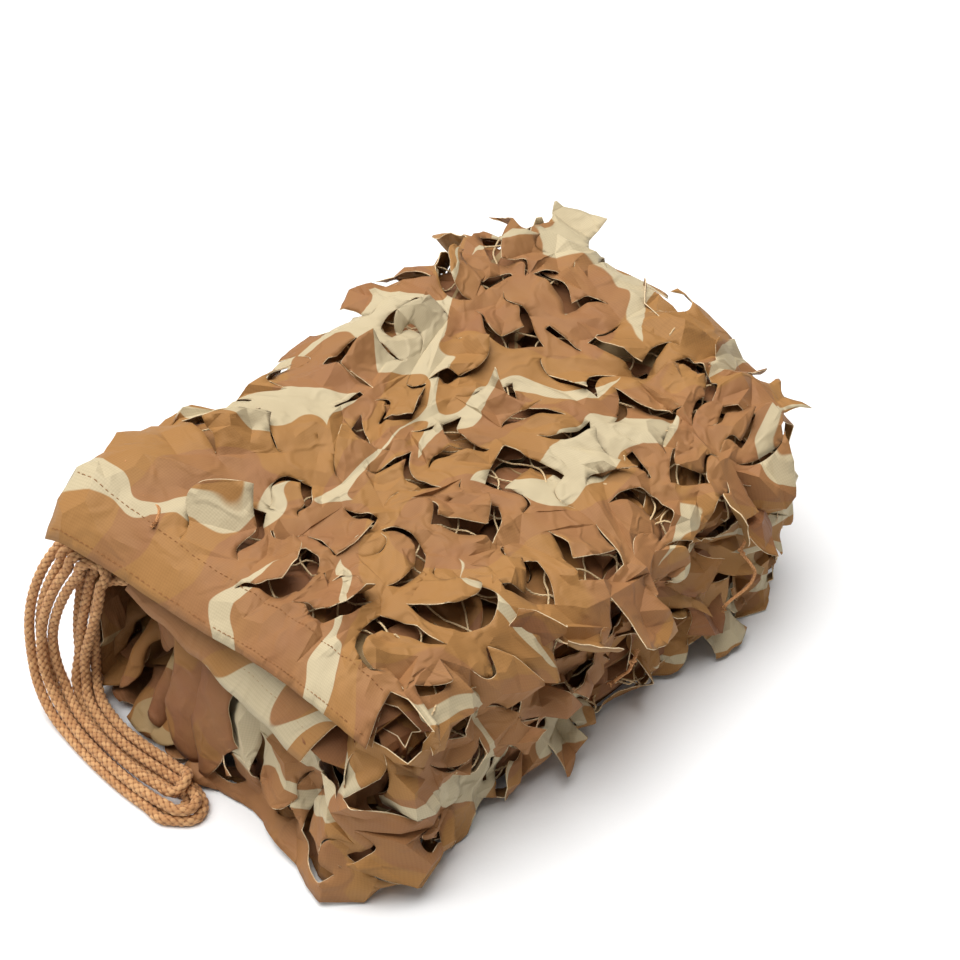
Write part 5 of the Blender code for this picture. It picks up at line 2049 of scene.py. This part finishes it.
@dataclass
class HollowLeaves:
    """The crumpled leaves that hang out of the open left end behind the rope."""

    packet: Packet
    seed: int = 81
    along: int = 22
    across: int = 12
    ribbons: tuple[Ribbon, ...] = (
        Ribbon(0.101, 0.100, -0.150, 0.026, 0.032, 50, 95, 50, 14, 6),
        Ribbon(0.080, 0.100, -0.152, 0.028, 0.036, 44, 92, 60, -8, -8),
        Ribbon(0.060, 0.100, -0.154, 0.030, 0.052, 46, 88, 60, 10, 4),
        Ribbon(0.034, 0.099, -0.156, 0.036, 0.094, 46, 80, 40, -6, 8),
        Ribbon(0.008, 0.097, -0.158, 0.038, 0.094, 48, 82, 36, 4, -6),
        Ribbon(0.104, 0.060, -0.148, 0.026, 0.052, 14, 66, 200, 14, 8),
        Ribbon(0.080, 0.062, -0.148, 0.026, 0.060, 12, 62, 240, 2, -4),
        Ribbon(0.058, 0.054, -0.150, 0.025, 0.058, 14, 60, 210, -4, 6),
        Ribbon(0.094, 0.030, -0.150, 0.034, 0.050, 4, 36, 60, 10, -4),
        Ribbon(0.066, 0.030, -0.153, 0.032, 0.050, 6, 38, 50, -2, 4),
        Ribbon(0.042, 0.030, -0.156, 0.034, 0.046, 6, 40, 60, 2, -4),
        Ribbon(0.092, 0.012, -0.154, 0.034, 0.036, -2, 10, 40, 10, 2),
        Ribbon(0.058, 0.011, -0.156, 0.032, 0.038, 0, 10, 30, -6, -2),
        Ribbon(0.030, 0.011, -0.158, 0.030, 0.038, 2, 12, 50, 4, 4),
    )

    def shaped(self, ribbon: Ribbon, rng: Draws, uneven: Ripples) -> tuple[Array, Array]:
        """Bends one leaf into place.

        Args:
            ribbon: the leaf.
            rng: the piece's draws.
            uneven: the field of its wrinkles.

        Returns:
            The flat places and the points, row by row.
        """
        u, v = np.meshgrid(np.linspace(0, 1, self.along), np.linspace(-0.5, 0.5, self.across), indexing="ij")
        waist, tip = rng.uniform(0.62, 0.85), rng.uniform(0.45, 0.9)
        outline = 1.0 - (1 - waist) * np.exp(-(((u - 0.4) / 0.16) ** 2)) - (1 - tip) * ease((u - 0.72) / 0.28)
        lean = rng.uniform(-0.25, 0.25) * u + 0.10 * np.sin(u * rng.uniform(4, 7) + rng.uniform(0, 6))
        across = (v * outline + lean) * ribbon.width
        notch = 1.0 - rng.uniform(0.1, 0.5) * (v - rng.uniform(-0.4, 0.4)) ** 2 * ease((u - 0.5) / 0.5)
        run = u * ribbon.length * notch
        angle = np.radians(ribbon.first + (ribbon.last - ribbon.first) * ease(u * 1.25))
        step = ribbon.length / (self.along - 1)
        out = np.cumsum(np.cos(angle[:, 0])) * step
        down = np.cumsum(np.sin(angle[:, 0])) * step
        at = np.clip(run / ribbon.length * (self.along - 1), 0, self.along - 1.001)
        out, down = np.interp(at, np.arange(self.along), out), np.interp(at, np.arange(self.along), down)
        turn = math.radians(ribbon.roll) * ease(u * 2.0 + 0.15)
        radius = ribbon.width / np.maximum(turn, 1e-3)
        round_it = across / radius
        sideways, hump = radius * np.sin(round_it), radius * (1 - np.cos(round_it))
        wrinkle = uneven(columns(across.ravel() + ribbon.y, run.ravel() + ribbon.z)).reshape(u.shape)
        hump = hump + wrinkle * 0.0006 * np.minimum(u * 4, 1)
        facing = math.radians(ribbon.swing)
        ahead = np.array([-math.cos(facing), math.sin(facing), 0.0])
        side = np.array([math.sin(facing), math.cos(facing), 0.0]) * math.cos(math.radians(ribbon.tilt))
        side = side + np.array([0.0, 0.0, math.sin(math.radians(ribbon.tilt))])
        normal_out, normal_up = -np.sin(angle), -np.cos(angle)
        points = (np.array([ribbon.x, ribbon.y, ribbon.z]) + ahead * (out + normal_out * hump)[..., None]
                  + side * sideways[..., None] + np.array([0, 0, 1.0]) * (normal_up * hump - down)[..., None])
        own = columns(across.ravel() + ribbon.y * 2, run.ravel() + ribbon.z * 3)
        return own + rng.uniform(-0.3, 0.3, 2), points.reshape(-1, 3)

    def build(self) -> Piece:
        """Returns:
            The piece.
        """
        rng, uneven = np.random.default_rng(self.seed), Ripples(self.seed, 0.022)
        faces, patches = quads(self.along, self.across)[:, (0, 3, 2, 1)], Patches("hollow_leaves", 7.0)
        for ribbon in self.ribbons:
            flat, points = self.shaped(ribbon, rng, uneven)
            patches.add(rest(points + self.packet.place, FLOOR_REST), faces, flat)
        area = sum(ribbon.width * ribbon.length * 0.8 for ribbon in self.ribbons)
        piece = patches.piece()
        add_thickness(piece, 0.0005)
        return piece


def add_thickness(piece: Piece, thickness: float) -> None:
    """Gives cloth its thickness, with its reverse and its cut edge in materials of their own.

    Args:
        piece: the cloth.
        thickness: its thickness.
    """
    solid = piece.modifiers.new("cloth", "SOLIDIFY")
    solid.thickness = thickness
    solid.offset = 0.0
    solid.material_offset = 1
    solid.material_offset_rim = 2


@dataclass
class SecondHem:
    """The plain hem of the ply under the top one, which hangs lower over the open left end."""

    packet: Packet
    back_drop: float = 0.016
    front_drop: float = 0.038
    back_shift: float = 0.010
    front_shift: float = 0.024
    inside: float = 1.3  # how far in it goes, in hem widths
    short_by: float = 0.012  # how far it ends before the front
    along: int = 84
    across: int = 30
    uneven: float = 0.0011

    def places(self, y: Array, across: Array) -> Array:
        """Points of the hem.

        Args:
            y: how far back.
            across: 0 at the ply's end and 1 at the hem's edge.

        Returns:
            The points.
        """
        p = self.packet
        height = p.ply_height(p.hem_ply)
        x = p.ply_ends[p.hem_ply][0] + np.maximum(-across, 0.0) * p.hem_width
        start = p.packed(x, y, np.full(len(y), height))
        front = (p.half - y) / (2 * p.half)
        droop = self.back_drop + (self.front_drop - self.back_drop) * front
        shift = self.front_shift * front**2 + self.back_shift * (1.0 - front)
        ahead = np.maximum(across, 0.0)
        sag = ahead * (0.35 + 0.65 * ahead)
        return start + columns(-p.hem_width * ahead, shift * ahead, -droop * sag) + p.place

    def rise(self, y: Array, across: Array) -> Array:
        """How far places of the hem are raised where it isn't even."""
        return Ripples(91, 0.035)(columns(across * self.packet.hem_width, y)) * self.uneven

    def build(self) -> Piece:
        """Returns:
            The piece.
        """
        p = self.packet
        back, front = p.half * (1 - 2 / p.cells), -p.half + self.short_by
        rows, steps = np.linspace(back, front, self.along), np.linspace(-self.inside, 1.0, self.across)
        y, across = (grid.ravel() for grid in np.meshgrid(rows, steps, indexing="ij"))
        flat = columns(across * p.hem_width, y)
        points = self.places(y, across)
        points[:, 2] += self.rise(y, across) * np.clip(across + 0.5, 0, 1)
        points[:, 2] += np.exp(-(((across - 0.80) / 0.05) ** 2)) * 0.0005
        piece = mesh_piece("second_hem", points, quads(self.along, self.across), flat, 3.0)
        add_thickness(piece, 0.0009)
        return piece


@dataclass
class HemStitches:
    """The sewn lines of both hems, stitch by stitch."""

    outer: Garnish
    second: SecondHem
    stitch: float = 0.0032
    between: float = 0.0012
    diameter: float = 0.00045
    lift: float = 0.0006
    step: float = 0.0008
    rows: Span = (0.10, 0.86)  # how far across the outer hem
    second_row: float = 0.70

    def build(self) -> Piece:
        """Makes the stitches.

        Returns:
            The piece.
        """
        strings = Strings("hem_stitches", self.diameter, 5)
        w, p = self.outer.wrap, self.outer.wrap.packet
        places = np.arange(p.top_rows[0] * w.run + 0.004, p.top_rows[1] * w.run - 0.003, self.step)
        for share in self.rows:
            flat = columns(np.full(len(places), p.left - p.hem_width * share), places)
            points, out = self.outer.settled(flat)
            self.sew(strings, points + out * self.lift)
        y = np.arange(-p.half + self.second.short_by + 0.002, p.half * (1 - 2 / p.cells) - 0.002, self.step)
        across = np.full(len(y), self.second_row)
        points = self.second.places(y, across)
        points[:, 2] += self.second.rise(y, across) + self.lift
        self.sew(strings, points)
        return strings.build(CottonFinish("sewing_thread", (0.40, 0.19, 0.070), (0.28, 0.12, 0.045)))

    def sew(self, strings: Strings, line: Array) -> None:
        """Adds one row of stitches, each dipping into the cloth at its ends.

        Args:
            strings: the stitches.
            line: where the row goes.
        """
        step = float(np.linalg.norm(np.diff(line, axis=0), axis=1).mean())
        long, gap = max(int(self.stitch / step), 3), max(int(self.between / step), 1)
        for k in range(0, len(line) - long, long + gap):
            part = line[k : k + long + 1].copy()
            part[:, 2] -= 0.0007 * np.abs(np.linspace(-1, 1, len(part))) ** 4
            strings.lay(part)


# The room


@dataclass
class Studio:
    """A pale floor and soft white light about the netting, and the camera."""

    lens: float = 85.0
    sensor: float = 36.0
    camera_place: Place = (-0.68982, -0.71592, 0.99283)
    look_at: Place = (0.0995, 0.0873, 0.0)
    floor_size: float = 8.0
    floor_colour: Colour = (0.885, 0.905, 0.930)
    sky: float = 0.16
    sky_colour: Colour = (1.0, 0.97, 0.94)
    lamps: tuple[tuple[str, Place, float, float], ...] = (  # with their power and their spread in degrees
        ("key", (-0.12, 0.37, 1.6), 4.35, 66.0), ("fill", (-1.0, 0.3, 0.9), 0.28, 80.0),
    )
    lamp_colour: Colour = (1.0, 0.975, 0.945)

    def place_camera(self) -> None:
        """Makes the camera."""
        data = bpy.data.cameras.new("camera")
        data.lens, data.sensor_width = self.lens, self.sensor
        camera = bpy.data.objects.new("camera", data)
        bpy.context.scene.collection.objects.link(camera)
        aim(camera, self.camera_place, self.look_at)
        bpy.context.scene.camera = camera

    def light(self) -> None:
        """Makes the floor, the sky and the lamps."""
        scene = bpy.context.scene
        scene.view_settings.view_transform = "Standard"
        half = self.floor_size / 2
        corners = np.array([(-half, -half, 0), (half, -half, 0), (half, half, 0), (-half, half, 0)], float)
        floor = mesh_piece("floor", corners, np.array([[0, 1, 2, 3]]), corners[:, :2])
        g = Graph("floor_paper")
        grain = g.noise(g.place("flat"), 260.0, 3.0)
        tone = g.colour(grain, tuple(c * 0.985 for c in self.floor_colour), self.floor_colour)
        g.finish(tone, 0.9, grain, 0.0001, Specular_IOR_Level=0.1)
        floor.data.materials.append(g.material)
        world = bpy.data.worlds.new("sky")
        world.use_nodes = True
        background = world.node_tree.nodes["Background"]
        background.inputs["Color"].default_value = (*self.sky_colour, 1.0)
        background.inputs["Strength"].default_value = self.sky
        scene.world = world
        for name, place, power, spread in self.lamps:
            data = bpy.data.lights.new(name, "SUN")
            data.energy, data.angle = power, math.radians(spread)
            data.color = self.lamp_colour
            lamp = bpy.data.objects.new(name, data)
            scene.collection.objects.link(lamp)
            aim(lamp, place, (0.0, 0.0, 0.05))


def aim(thing: Piece, place: Sequence[float], target: Sequence[float]) -> None:
    """Puts a camera or a lamp in place and points it at its target.

    Args:
        thing: the camera or the lamp.
        place: where it goes.
        target: what it points at.
    """
    thing.location = place
    thing.rotation_mode = "QUATERNION"
    thing.rotation_quaternion = (Vector(target) - Vector(place)).to_track_quat("-Z", "Y")


TIE_PATHS: dict[str, tuple[int, tuple[Place, ...]]] = {  # with the corner that is knotted
    "tie_back": (2, (
        (-0.14524, 0.10781, 0.15677), (-0.14862, 0.10691, 0.15755), (-0.152, 0.106, 0.15755),
        (-0.15494, 0.09965, 0.15474), (-0.15751, 0.09313, 0.15287), (-0.16595, 0.0903, 0.15047),
        (-0.17167, 0.0914, 0.14927))),
    "tie_hem": (3, (
        (-0.14996, 0.09275, 0.15305), (-0.15264, 0.0905, 0.15305), (-0.15532, 0.08825, 0.15112),
        (-0.158, 0.086, 0.15094), (-0.15798, 0.079, 0.14964), (-0.15755, 0.07201, 0.14947),
        (-0.164, 0.06588, 0.14844), (-0.16966, 0.06445, 0.14795))),
    "tie_front": (3, (
        (0.11446, -0.13068, 0.08627), (0.11231, -0.13068, 0.08352), (0.11015, -0.13063, 0.08076),
        (0.108, -0.1316, 0.078), (0.10948, -0.13841, 0.07116), (0.11134, -0.14049, 0.06441),
        (0.10631, -0.14049, 0.05707), (0.09565, -0.1383, 0.05287), (0.08997, -0.13622, 0.048),
        (0.09177, -0.13572, 0.04309))),
    "tie_middle": (2, (
        (0.01634, -0.13328, 0.06296), (0.01317, -0.1352, 0.06148), (0.01, -0.1362, 0.06),
        (0.00821, -0.13525, 0.05323), (0.00681, -0.13087, 0.04637), (-0.00101, -0.12811, 0.04212))),
}


def report(piece: Piece, slot: str, *nodes: str) -> Piece:
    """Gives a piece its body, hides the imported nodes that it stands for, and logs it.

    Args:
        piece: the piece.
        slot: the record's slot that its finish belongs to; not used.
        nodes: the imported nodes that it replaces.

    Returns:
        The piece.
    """
    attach(piece, BODY)
    if nodes:
        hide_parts(*nodes)
    LOG.info("%s: %d points", piece.name, len(piece.data.vertices))
    return piece


def main() -> None:
    """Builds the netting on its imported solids."""
    logging.basicConfig(level=logging.INFO, format="%(name)s %(message)s")
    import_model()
    studio, packet, wrap = Studio(), Packet(), Wrap()
    studio.place_camera()
    report(BorderRope(packet).build(), "rope", ROPE_NODE)
    face = PrintedCloth("cloth_face", yellowing=0.17, shade=0.74)
    reverse = PrintedCloth("cloth_reverse", yellowing=0.34, shade=0.64)
    # A darker copy of the same cloth, its sand left out and its colours darkened: painted shade for the layers
    # that lie in shade
    inner = PrintedCloth("cloth_inside_painted_shade", sand=(0.62, 0.42, 0.20), sand_width=-0.010, yellowing=0.05,
                         shade=0.60)
    cloth = [face.material(), reverse.material(), CutEdge("cut_edge").material()]
    painted_shade_cloth = inner.material()
    inside = [painted_shade_cloth, painted_shade_cloth, cloth[2]]
    outer = Garnish("garnish_outer", wrap, 21, 0.0015)
    under = Garnish("garnish_under", wrap, 33, 0.0022, depth=0.0105, is_under=True)
    second = SecondHem(packet)
    # The layer under, the inner plies and the hollow leaves wear the darker copy, as painted shade
    makers = ((outer, cloth), (second, cloth), (under, inside), (InnerPlies(packet), inside),
              (HollowLeaves(packet), inside))
    for maker, materials in makers:
        piece = report(maker.build(), "garnish_cloth", NET_NODE)
        for material in materials:
            piece.data.materials.append(material)
    report(HemStitches(outer, second).build(), "garnish_cloth")
    report(BackingNet(wrap).build(), "tie")
    for n, (name, (knot_at, path)) in enumerate(TIE_PATHS.items()):
        moved = tuple(tuple(np.array(point) + packet.place) for point in path)
        report(Tie(name + "_string", moved, knot_at, seed=71 + n).build(), "tie", name)
    studio.light()


if __name__ == "__main__":
    main()
